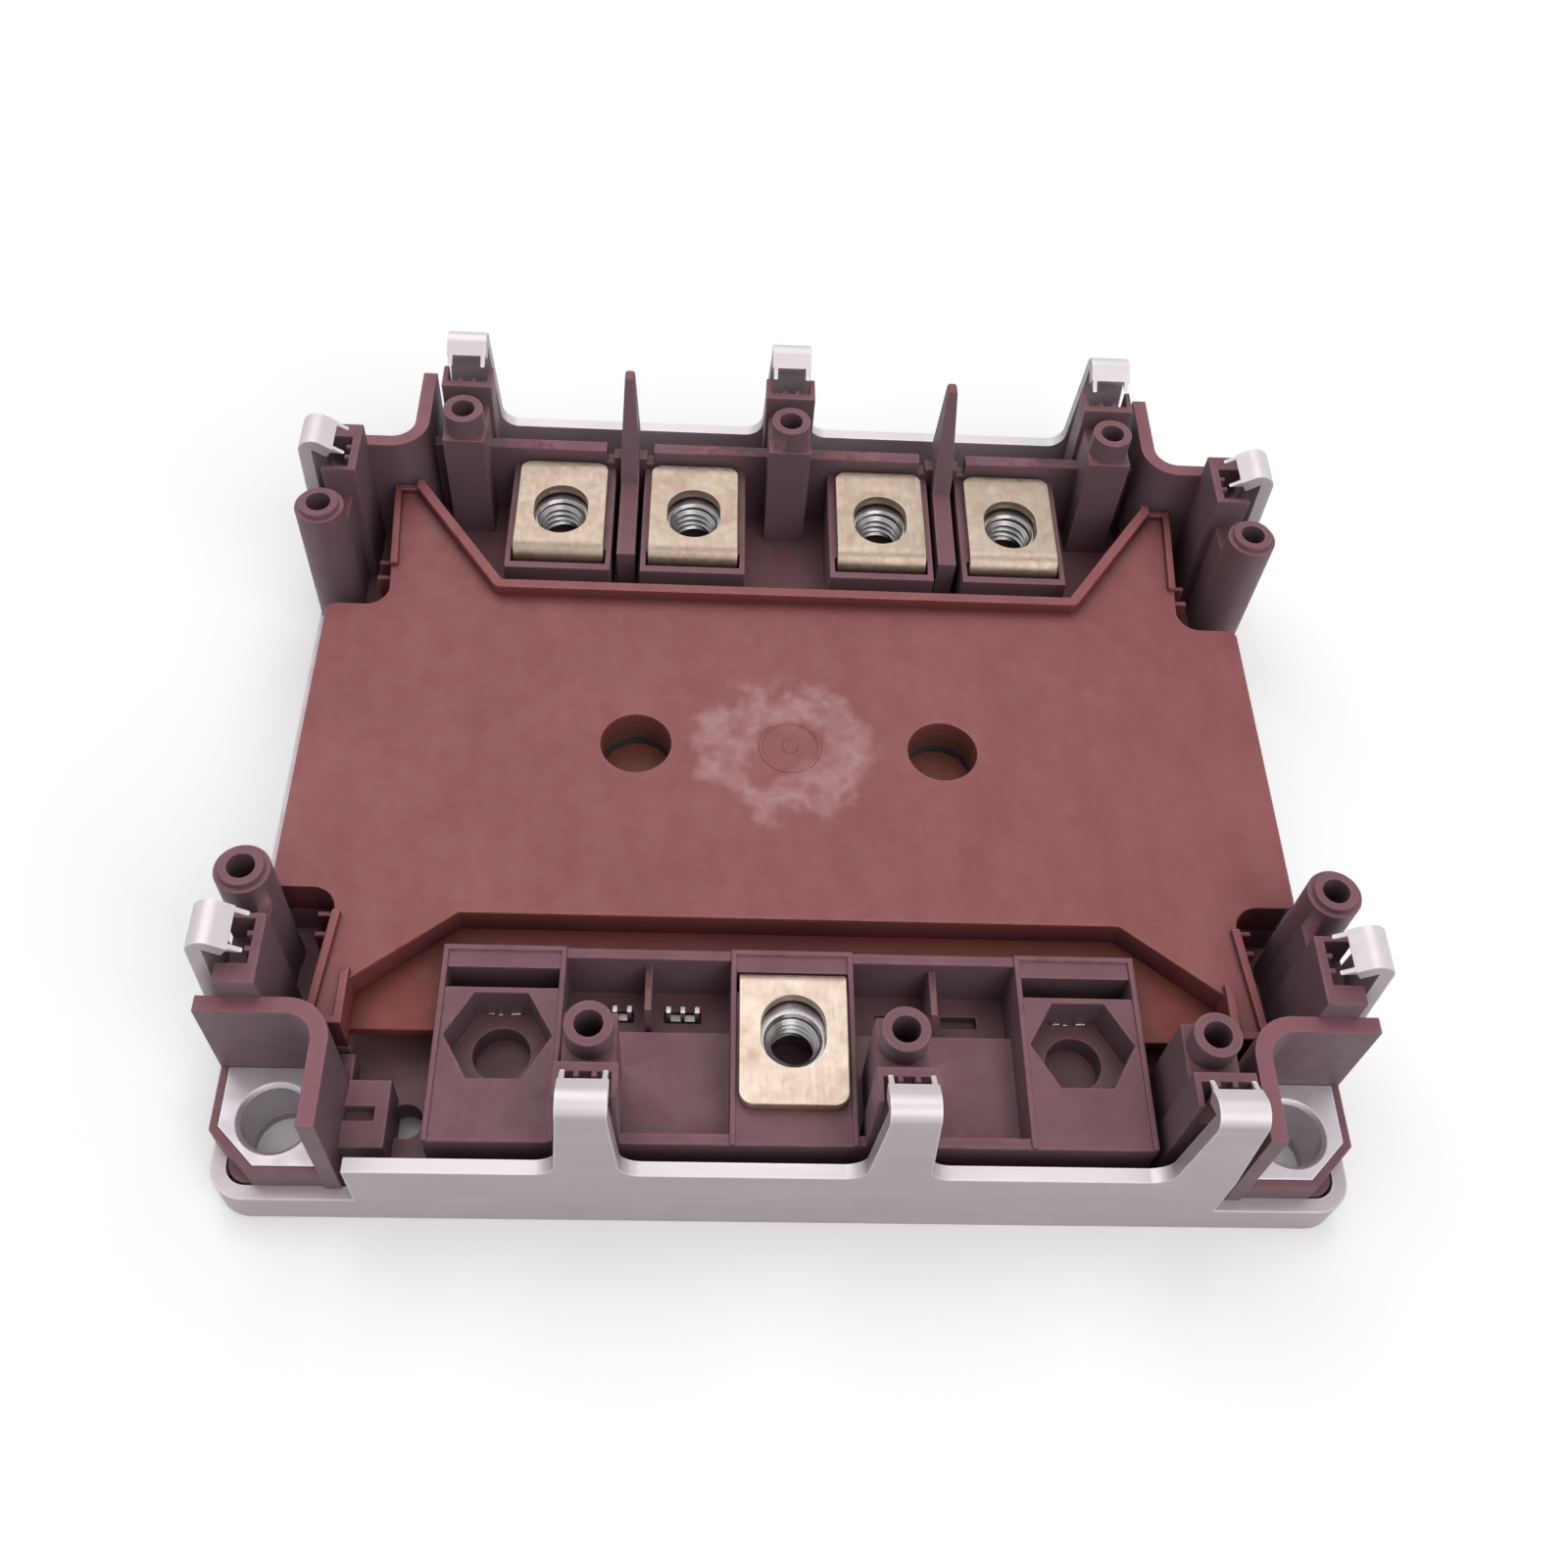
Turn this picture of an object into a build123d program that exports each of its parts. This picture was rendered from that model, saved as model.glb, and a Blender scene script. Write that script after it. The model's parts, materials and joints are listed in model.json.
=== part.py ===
from build123d import *
import os
from math import cos, radians, sin, sqrt, tan

os.makedirs("parts", exist_ok=True)

# Power semiconductor module: a moulded housing with screw domes stands in a folded sheet tray.
# X runs to the right, Y to the rear, Z up. The origin is the middle of the tray's underside.

# Folded sheet tray
tray_length = 125.6
tray_width = 112.0
sheet = 1.7
tray_corner = 4.0
rim_height = 5.3
strip_top = 13.7
leg_top = 29.8
leg_tip_width = 5.2
leg_root_width = 7.0
leg_root_fillet = 2.4
side_root_fillet = 1.0
hook_reach = 4.4
hook_slope = 34.0
hook_bend = 1.9
barb_length = 1.6
barb_width = 0.6
barb_pitch = 4.3

# Mounting lugs and their walls
lug_length = 12.6
lug_width = 13.7
mount_from_side = 6.9
mount_from_edge = 7.8
mount_hole = 7.3
mount_hole_chamfer = 0.5
lug_top = 8.76
lug_chamfer = 4.9
lug_inset = 1.55
lug_overhang = 0.1
plate_thickness = 1.5
plate_margin = 0.9
plate_proud = 0.1
bush_wall = 1.0
corner_wall = 1.9
corner_wall_top = 22.5
corner_bend = 3.0

# Screw domes and the towers that take the tray's hooks
dome_top = 25.85
dome_radius = 2.6
dome_hole = 3.0
dome_hole_depth = 12.0
dome_from_edge = 11.6
dome_pedestal_top = 22.6
pedestal_margin = 0.2
outer_dome_from_wall = 6.7
front_dome_pitch = 32.6
side_dome_radius = 3.07
side_dome_ring = 2.45
side_dome_step = 0.7
side_dome_from_edge = 3.1
side_dome_from_wall = 15.6
side_leg_from_wall = 6.6
tower_width = 6.6
tower_depth = 3.9
tower_setback = 1.8
side_tower_setback = 2.5
side_tower_depth = 4.4
side_pocket_depth = 3.3
side_web = 1.6
side_web_top = 21.0
pocket_width = 5.2
pocket_depth = 2.8
pocket_drop = 4.3
pocket_rib = 0.6
pocket_rib_pitch = 1.8

# Front terminal row: three blocks with two bays between them
block_pitch = 32.3
block_width = 13.8
row_top = 13.84
row_depth = 23.2
front_riser_setback = 3.9
riser_slot = 2.4
row_wall = 1.3
row_rim = 0.65
row_rim_rise = 0.4
front_nut_setback = 10.9
front_hole_lead = 0.4
bay_floor = 8.5
bay_channel = 6.4
bay_rib = 0.8
bay_rib_depth = 5.6
bay_rib_top = 12.4

# Rear terminal row: four blocks, two fins and the wall behind them
rear_inner_x = 12.7
rear_outer_x = 30.6
rear_block_width = 14.0
rear_block_top = 14.4
rear_block_depth = 18.9
rear_lip = 1.1
rear_riser_inset = 1.8
rear_nut_inset = 9.4
rear_wall_setback = 10.0
rear_wall_thickness = 1.8
rear_wall_top = 17.5
fin_gap = 6.4
fin_gap_drop = 1.2
wall_nick = 0.9
wall_nick_drop = 2.2
fin_thickness = 2.5
fin_crest_thickness = 1.3
fin_crest_round = 0.5
fin_top = 28.5
fin_crest = 1.6
fin_setback = 6.0
fin_inset = 2.9
fin_slope_run = 7.0

# Brass terminals and their M6 nuts
brass = 1.5
tab_width = 12.0
tab_bend = 2.5
rear_tab_length = 16.5
front_tab_length = 16.0
tab_corner = 1.6
tab_slot_width = 7.1
tab_slot_length = 8.6
nut_across_flats = 10.0
nut_height = 5.0
nut_bore = 5.0
nut_pocket_clear = 0.15
nut_pocket_depth = 5.2
screw_bore = 6.4
slot_play = 0.25
foot_width = 5.5
front_bus_inset = 4.4
front_bus_width = 5.0
rear_bus_inset = 6.6
rear_inner_foot_shift = 2.7
rear_outer_foot_shift = 3.0

# Skirted cover
cover_top = 15.0
cover_seat = 9.7
cover_plate = 2.2
cover_skirt = 1.6
cover_from_side = 3.4
cover_row_gap = 3.6
cover_block_gap = 4.2
front_knee_inset = 1.2
rear_knee_inset = 0.4
shoulder_from_wall = 1.3
front_shoulder_drop = 7.9
rear_shoulder_drop = 2.7
notch_depth = 7.8
notch_mouth_depth = 6.2
notch_front_margin = 3.9
notch_rear_margin = 7.2
notch_bend = 2.8
notch_rib = 0.7
notch_rib_pitch = 2.6
notch_rib_reach = 2.4
notch_rib_drop = 1.5
cover_bend = 1.2
cover_gap = 0.3
ridge_width = 1.4
ridge_rise = 1.8
side_ridge_width = 1.0
side_ridge_rise = 0.8
side_ridge_run = 13.6
flange_thickness = 1.5
flange_drop = 3.7
cover_hole = 8.6
cover_hole_pitch = 37.8
gate_ring = 7.8
gate_ring_width = 0.5
gate_ring_rise = 0.15
gate_pip = 2.0

# Deck, core wall and what lies inside
deck_clear = 0.2
core_wall = 1.8
stack_clear_x = 5.8
stack_clear_y = 3.5
window_clear_x = 1.0
window_clear_y = 1.5
substrate_gap = 2.0
copper = 0.3
ceramic = 0.64
copper_margin = 1.0
land_gap = 1.0
front_land = 7.0
rear_land = 8.0
igbt_width = 9.0
diode_side = 6.5
chip = 0.25
chip_gap = 2.4
chip_margin = 1.3
bridge_thickness = 2.1
post_clear = 0.3
post_y = 3.2
foam_thickness = 1.5
sensor_length = 3.2
sensor_width = 1.6
sensor_height = 1.1

# Driver contacts in the bays
contact_slot_length = 4.2
contact_slot_width = 1.4
contact_slot_depth = 1.4
contact_length = 3.8
contact_thickness = 0.8
contact_base = 1.2
contact_height = 3.4
contact_finger = 0.5
contact_setback = 4.3
contact_offset = 3.9

# Locating block and the hole beside it at the front left corner
key_block_length = 4.7
key_block_width = 7.8
key_block_top = 10.4
key_block_from_wall = 5.8
key_notch_length = 3.2
key_notch_width = 1.6
key_notch_depth = 1.6
peep_from_wall = 7.6
peep_from_front = 5.6
peep_length = 3.2
peep_width = 4.0

# Lengths closer than this are the same length
same = 0.01

# Edges of the tray and of the pieces that follow them
tray_front = -tray_width / 2
tray_side = tray_length / 2
deck_length = tray_length - 2 * (sheet + deck_clear)
deck_width = tray_width - 2 * (sheet + deck_clear)
corner_wall_x = tray_side - lug_length
corner_wall_y = -tray_front - lug_width
mount_x = tray_side - mount_from_side
mount_y = -tray_front - mount_from_edge
lug_side = tray_side - lug_overhang
lug_front = tray_front + lug_inset

# Domes, towers and legs
outer_dome_x = corner_wall_x - outer_dome_from_wall
dome_reach_y = -tray_front - dome_from_edge
side_dome_x = tray_side - side_dome_from_edge
side_dome_y = corner_wall_y - side_dome_from_wall
side_leg_y = corner_wall_y - side_leg_from_wall
side_tower_out = tray_side - side_tower_setback
front_dome_xs = [outer_dome_x - 2 * front_dome_pitch, outer_dome_x - front_dome_pitch, outer_dome_x]
rear_dome_xs = [-outer_dome_x, 0, outer_dome_x]
strip_half = outer_dome_x + leg_root_width / 2
side_half = side_leg_y + leg_root_width / 2 + 2 * side_root_fillet

# Front terminal row
row_front = tray_front + sheet + tower_setback
row_rear = row_front + row_depth
row_half = block_pitch + block_width / 2
row_middle = (row_rear + row_front) / 2
tower_front = row_front
tower_rear = tower_front + tower_depth
face_length = block_width - 2 * row_rim
front_riser_y = row_rear - front_riser_setback
front_nut_y = row_rear - front_nut_setback
front_hole_y = front_nut_y + front_hole_lead
front_block_xs = [-block_pitch, 0, block_pitch]
bay_xs = [-block_pitch / 2, block_pitch / 2]
bay_length = block_pitch - block_width
bay_rear = row_rear - row_wall
contact_y = row_rear - contact_setback
contact_places = [(x + side * contact_offset, contact_y) for x in bay_xs for side in (-1, 1)]
fitted_contacts = contact_places[:2]

# Rear terminal row
rear_wall_front = -tray_front - rear_wall_setback
rear_block_front = rear_wall_front - rear_block_depth
rear_riser_y = rear_block_front + rear_riser_inset
rear_nut_y = rear_block_front + rear_nut_inset
rear_terminal_xs = [-rear_outer_x, -rear_inner_x, rear_inner_x, rear_outer_x]
fin_x = (rear_inner_x + rear_outer_x) / 2
fin_rear = -tray_front - fin_setback
fin_foot = rear_block_front + fin_inset
fin_slope_foot = fin_rear - fin_slope_run
nut_pocket = nut_across_flats + nut_pocket_clear
tunnel_width = tab_width + 2 * slot_play
tunnel_height = brass + slot_play

# Cover
cover_half_length = tray_side - cover_from_side
cover_front = row_rear + cover_row_gap
cover_rear = rear_block_front - cover_block_gap
cover_mid_y = (cover_front + cover_rear) / 2
cover_front_knee = row_half - front_knee_inset
cover_rear_knee = rear_outer_x + rear_block_width / 2 - rear_knee_inset
cover_shoulder = corner_wall_x - shoulder_from_wall
cover_shoulder_front = -(corner_wall_y - front_shoulder_drop)
cover_shoulder_rear = corner_wall_y - rear_shoulder_drop
cover_underside = cover_top - cover_plate
notch_floor_x = cover_half_length - notch_depth
notch_mouth_x = cover_half_length - notch_mouth_depth
notch_front = -(side_dome_y - notch_front_margin)
notch_rear = side_dome_y - notch_rear_margin
flange_front = -(corner_wall_y - flange_drop)

# Window in the deck and the stack inside it
deck_top = rim_height
window_middle = cover_mid_y
inner_length = 2 * (notch_floor_x - core_wall - stack_clear_x)
inner_width = cover_rear - cover_front - 2 * (core_wall + stack_clear_y)
substrate_pitch = (inner_length + substrate_gap) / 3
substrate_length = substrate_pitch - substrate_gap
window_length = inner_length + 2 * window_clear_x
window_width = inner_width + 2 * window_clear_y
front_bus_y = window_middle - inner_width / 2 + front_bus_inset
rear_bus_end = window_middle + inner_width / 2 - rear_bus_inset
rear_inner_foot_x = rear_inner_x - rear_inner_foot_shift
rear_outer_foot_x = rear_outer_x + rear_outer_foot_shift
ceramic_bottom = sheet + copper
copper_bottom = ceramic_bottom + ceramic
copper_top = copper_bottom + copper
bar_top = deck_top + brass
bridge_top = bar_top + bridge_thickness
foam_top = bridge_top + foam_thickness


# Cover outline: a lid with a notch at each side dome and shoulders that run to the corner walls
def cover_outline():
    rear_edge = corner_wall_y - corner_wall - cover_gap
    front_edge = -rear_edge
    right = [
        (0, cover_front),
        (cover_front_knee, cover_front),
        (cover_shoulder, cover_shoulder_front),
        (cover_shoulder, front_edge),
        (notch_mouth_x, front_edge),
        (notch_floor_x, notch_front),
        (cover_half_length, notch_front),
        (cover_half_length, notch_rear),
        (notch_floor_x, notch_rear),
        (notch_mouth_x, rear_edge),
        (cover_shoulder, rear_edge),
        (cover_shoulder, cover_shoulder_rear),
        (cover_rear_knee, cover_rear),
        (0, cover_rear),
    ]
    with BuildSketch() as outline:
        with BuildLine():
            Polyline(*right, close=True)
        make_face()
        notch_corners = outline.vertices().filter_by(lambda v: abs(v.X - notch_floor_x) < same)
        fillet(notch_corners, notch_bend)
        tips = outline.vertices().filter_by(lambda v: abs(v.X - cover_half_length) < same)
        fillet(tips, cover_bend)
        mirror(about=Plane.YZ)
    return outline.sketch


cover_shape = cover_outline()
core_inner = offset(cover_shape, amount=-core_wall, mode=Mode.PRIVATE)
skirt_inner = offset(cover_shape, amount=-cover_skirt, mode=Mode.PRIVATE)


# Folded tray: outlines of its legs and the hook at the head of each
hook_turn = radians(90 + hook_slope)
slope_in = cos(radians(hook_slope))
slope_down = sin(radians(hook_slope))
hook_apex = leg_top + hook_bend * (tan(hook_turn / 2) - 1)
hook_tip = hook_apex - hook_reach * tan(radians(hook_slope))
blade_top = hook_apex - hook_bend * tan(hook_turn / 2)
blade_points = [
    (leg_root_width / 2, rim_height - sheet),
    (leg_root_width / 2, strip_top),
    (leg_tip_width / 2, blade_top),
    (-leg_tip_width / 2, blade_top),
    (-leg_root_width / 2, strip_top),
    (-leg_root_width / 2, rim_height - sheet),
]

# The hook stands over an outer face in the plane Y = 0 and reaches towards +Y
with BuildPart() as hook_head:
    with BuildSketch(Plane.YZ) as hook:
        with BuildLine():
            Polyline(
                (0, blade_top),
                (0, hook_apex),
                (hook_reach, hook_tip),
                (hook_reach - sheet * slope_down, hook_tip - sheet * slope_in),
                (sheet, hook_apex - sheet * slope_down / slope_in - sheet / slope_in),
                (sheet, blade_top),
                close=True,
            )
        make_face()
        fillet(hook.vertices().sort_by(Axis.Y)[-1], hook_bend)
    extrude(amount=leg_tip_width / 2, both=True)
    for side in (-1, 1):
        with BuildSketch(Plane.YZ.offset(side * barb_pitch / 2)):
            with BuildLine():
                Polyline(
                    (hook_reach - sheet * slope_in, hook_tip + sheet * slope_down),
                    (hook_reach + barb_length * slope_in, hook_tip - barb_length * slope_down),
                    (hook_reach - sheet * slope_down / 2, hook_tip - sheet * slope_in / 2),
                    close=True,
                )
            make_face()
        extrude(amount=barb_width / 2, both=True)

hook_places = [Location((x, tray_front, 0), (0, 0, 0)) for x in front_dome_xs]
hook_places += [Location((x, -tray_front, 0), (0, 0, 180)) for x in rear_dome_xs]
hook_places += [Location((tray_side, y, 0), (0, 0, 90)) for y in (-side_leg_y, side_leg_y)]
hook_places += [Location((-tray_side, y, 0), (0, 0, -90)) for y in (-side_leg_y, side_leg_y)]

with BuildPart() as base_tray:
    with BuildSketch():
        RectangleRounded(tray_length, tray_width, tray_corner)
    extrude(amount=rim_height)
    with BuildSketch(Plane.XY.offset(sheet)):
        RectangleRounded(tray_length - 2 * sheet, tray_width - 2 * sheet, tray_corner - sheet)
    extrude(amount=rim_height, mode=Mode.SUBTRACT)
    # front and rear edges: a strip with three legs
    long_edges = [
        (Plane.XZ.offset(-tray_front), front_dome_xs),
        (Plane.XZ.offset(tray_front + sheet), rear_dome_xs),
    ]
    for edge_plane, leg_xs in long_edges:
        with BuildSketch(edge_plane) as long_edge:
            with Locations((0, sheet)):
                Rectangle(2 * strip_half, strip_top - sheet, align=(Align.CENTER, Align.MIN))
            with Locations(*[(x, 0) for x in leg_xs]):
                Polygon(*blade_points, align=None)
            at_strip_top = long_edge.vertices().filter_by(lambda v: abs(v.Y - strip_top) < same)
            leg_roots = at_strip_top.filter_by(lambda v: abs(v.X) < strip_half - same)
            fillet(leg_roots, leg_root_fillet)
        extrude(amount=-sheet)
    # side edges: two legs that rise from the low rim
    for edge_plane in (Plane.YZ.offset(tray_side), Plane.YZ.offset(-tray_side + sheet)):
        with BuildSketch(edge_plane) as side_edge:
            with Locations((0, sheet)):
                Rectangle(2 * side_half, rim_height - sheet, align=(Align.CENTER, Align.MIN))
            with Locations((-side_leg_y, 0), (side_leg_y, 0)):
                Polygon(*blade_points, align=None)
            at_rim = side_edge.vertices().filter_by(lambda v: abs(v.Y - rim_height) < same)
            fillet(at_rim.filter_by(lambda v: abs(v.X) < side_half - same), side_root_fillet)
        extrude(amount=-sheet)
    with Locations(*hook_places):
        add(hook_head.part)
    with BuildSketch():
        with GridLocations(2 * mount_x, 2 * mount_y, 2, 2):
            Circle(mount_hole / 2)
    extrude(amount=sheet, mode=Mode.SUBTRACT)
base_tray.part.label = "base_tray"
export_step(base_tray.part, "parts/base_tray.step")


# Outline of the lug at the front left corner, drawn in by a margin from its free edges
def lug_outline(margin, wall_face_x, wall_face_y):
    cut = lug_chamfer + margin * (sqrt(2) - 1)
    with BuildSketch() as lug:
        with BuildLine():
            Polyline(
                (-lug_side + margin, -wall_face_y),
                (-lug_side + margin, lug_front + cut),
                (-lug_side + cut, lug_front + margin),
                (-wall_face_x, lug_front + margin),
                (-wall_face_x, -wall_face_y),
                close=True,
            )
        make_face()
        if margin:
            fillet(lug.vertices().sort_by_distance((-wall_face_x, -wall_face_y))[0], corner_bend)
    return lug.sketch


lug_shape = lug_outline(0, corner_wall_x - corner_wall, corner_wall_y - corner_wall)
plate_shape = lug_outline(plate_margin, corner_wall_x, corner_wall_y)

# Front left corner of the housing: the lug and the bent wall round it
with BuildPart() as lug_corner:
    with BuildSketch(Plane.XY.offset(rim_height)):
        add(lug_shape)
    extrude(amount=lug_top - rim_height)
    with BuildSketch(Plane.XY.offset(deck_top)) as bent_wall:
        with BuildLine():
            Polyline(
                (-lug_side, -corner_wall_y),
                (-corner_wall_x, -corner_wall_y),
                (-corner_wall_x, lug_front - slot_play),
                (-corner_wall_x + corner_wall, lug_front - slot_play),
                (-corner_wall_x + corner_wall, -corner_wall_y + corner_wall),
                (-lug_side, -corner_wall_y + corner_wall),
                close=True,
            )
        make_face()
        fillet(bent_wall.vertices().sort_by_distance((-corner_wall_x, -corner_wall_y))[0], corner_bend)
        outer_corner = (-corner_wall_x + corner_wall, -corner_wall_y + corner_wall)
        fillet(bent_wall.vertices().sort_by_distance(outer_corner)[0], corner_bend + corner_wall)
    extrude(amount=corner_wall_top - deck_top)
    with BuildSketch(Plane.XY.offset(lug_top - plate_thickness)):
        add(plate_shape)
    extrude(amount=plate_thickness, mode=Mode.SUBTRACT)

# Screw dome with its tower, at the front edge: dome, square pedestal, tower and hook pocket
with BuildPart() as dome_column:
    with BuildSketch(Plane.XY.offset(deck_top)):
        with Locations((0, tower_front)):
            Rectangle(tower_width, tower_depth, align=(Align.CENTER, Align.MIN))
    extrude(amount=dome_top - deck_top)
    pedestal_side = 2 * (dome_radius + pedestal_margin)
    with BuildSketch(Plane.XY.offset(deck_top)):
        with Locations((0, -dome_reach_y + pedestal_side / 2)):
            pedestal_length = -dome_reach_y + pedestal_side / 2 - tower_rear + slot_play
            Rectangle(pedestal_side, pedestal_length, align=(Align.CENTER, Align.MAX))
    extrude(amount=dome_pedestal_top - deck_top)
    with BuildSketch(Plane.XY.offset(deck_top)):
        with Locations((0, -dome_reach_y)):
            Circle(dome_radius)
    extrude(amount=dome_top - deck_top)
    with BuildSketch(Plane.XY.offset(dome_top)):
        with Locations((0, -dome_reach_y)):
            Circle(dome_hole / 2)
    extrude(amount=-dome_hole_depth, mode=Mode.SUBTRACT)
    with BuildSketch(Plane.XY.offset(dome_top)):
        with Locations((0, tower_front)):
            Rectangle(pocket_width, pocket_depth, align=(Align.CENTER, Align.MIN))
        with Locations((0, tower_front + pocket_depth - pocket_rib / 2)):
            with GridLocations(pocket_rib_pitch, pocket_rib, 2, 1):
                Rectangle(pocket_rib, pocket_rib, mode=Mode.SUBTRACT)
    extrude(amount=-pocket_drop, mode=Mode.SUBTRACT)

# Side dome, tower and the web between them, at the right front
with BuildPart() as side_column:
    with BuildSketch(Plane.XY.offset(rim_height)):
        with Locations((side_dome_x, -side_dome_y)):
            Circle(side_dome_radius)
    extrude(amount=dome_top - side_dome_step - rim_height)
    with BuildSketch(Plane.XY.offset(rim_height)):
        with Locations((side_dome_x, -side_dome_y)):
            Circle(side_dome_ring)
    extrude(amount=dome_top - rim_height)
    tower_head_y = -side_leg_y + tower_width / 2
    with BuildSketch(Plane.XY.offset(deck_top)):
        with Locations((side_tower_out, tower_head_y)):
            tower_run = corner_wall_y - corner_wall + tower_head_y + slot_play
            Rectangle(side_tower_depth, tower_run, align=(Align.MAX, Align.MAX))
    extrude(amount=dome_top - deck_top)
    with BuildSketch(Plane.XY.offset(deck_top)):
        with Locations((side_tower_out - side_pocket_depth, tower_head_y - slot_play)):
            web_run = -side_dome_y - tower_head_y + slot_play
            Rectangle(side_web, web_run, align=(Align.MIN, Align.MIN))
    extrude(amount=side_web_top - deck_top)
    with BuildSketch(Plane.XY.offset(dome_top)):
        with Locations((side_dome_x, -side_dome_y)):
            Circle(dome_hole / 2)
    extrude(amount=-dome_hole_depth, mode=Mode.SUBTRACT)
    with BuildSketch(Plane.XY.offset(dome_top)):
        with Locations((side_tower_out, -side_leg_y)):
            Rectangle(side_pocket_depth, pocket_width, align=(Align.MAX, Align.CENTER))
        with Locations((side_tower_out - side_pocket_depth + pocket_rib / 2, -side_leg_y)):
            with GridLocations(pocket_rib, pocket_rib_pitch, 1, 2):
                Rectangle(pocket_rib, pocket_rib, mode=Mode.SUBTRACT)
    extrude(amount=-pocket_drop, mode=Mode.SUBTRACT)

# Fin between a pair of rear terminals, drawn in the plane X = 0
with BuildPart() as fin:
    with BuildSketch(Plane.YZ):
        with BuildLine():
            Polyline(
                (fin_foot, deck_top),
                (fin_foot, rear_block_top),
                (fin_slope_foot, rear_block_top),
                (fin_rear - fin_crest, fin_top),
                (fin_rear, fin_top),
                (fin_rear, deck_top),
                close=True,
            )
        make_face()
    extrude(amount=fin_thickness / 2, both=True)
    with BuildSketch(Plane.XZ) as fin_taper:
        with BuildLine():
            Polyline(
                (-fin_thickness / 2, deck_top),
                (fin_thickness / 2, deck_top),
                (fin_thickness / 2, rear_wall_top),
                (fin_crest_thickness / 2, fin_top),
                (-fin_crest_thickness / 2, fin_top),
                (-fin_thickness / 2, rear_wall_top),
                close=True,
            )
        make_face()
        fillet(fin_taper.vertices().group_by(Axis.Y)[-1], fin_crest_round)
    extrude(amount=tray_width, both=True, mode=Mode.INTERSECT)

nut_places = [(x, front_nut_y, row_top) for x in front_block_xs]
nut_places += [(x, rear_nut_y, rear_block_top) for x in rear_terminal_xs]

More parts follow.
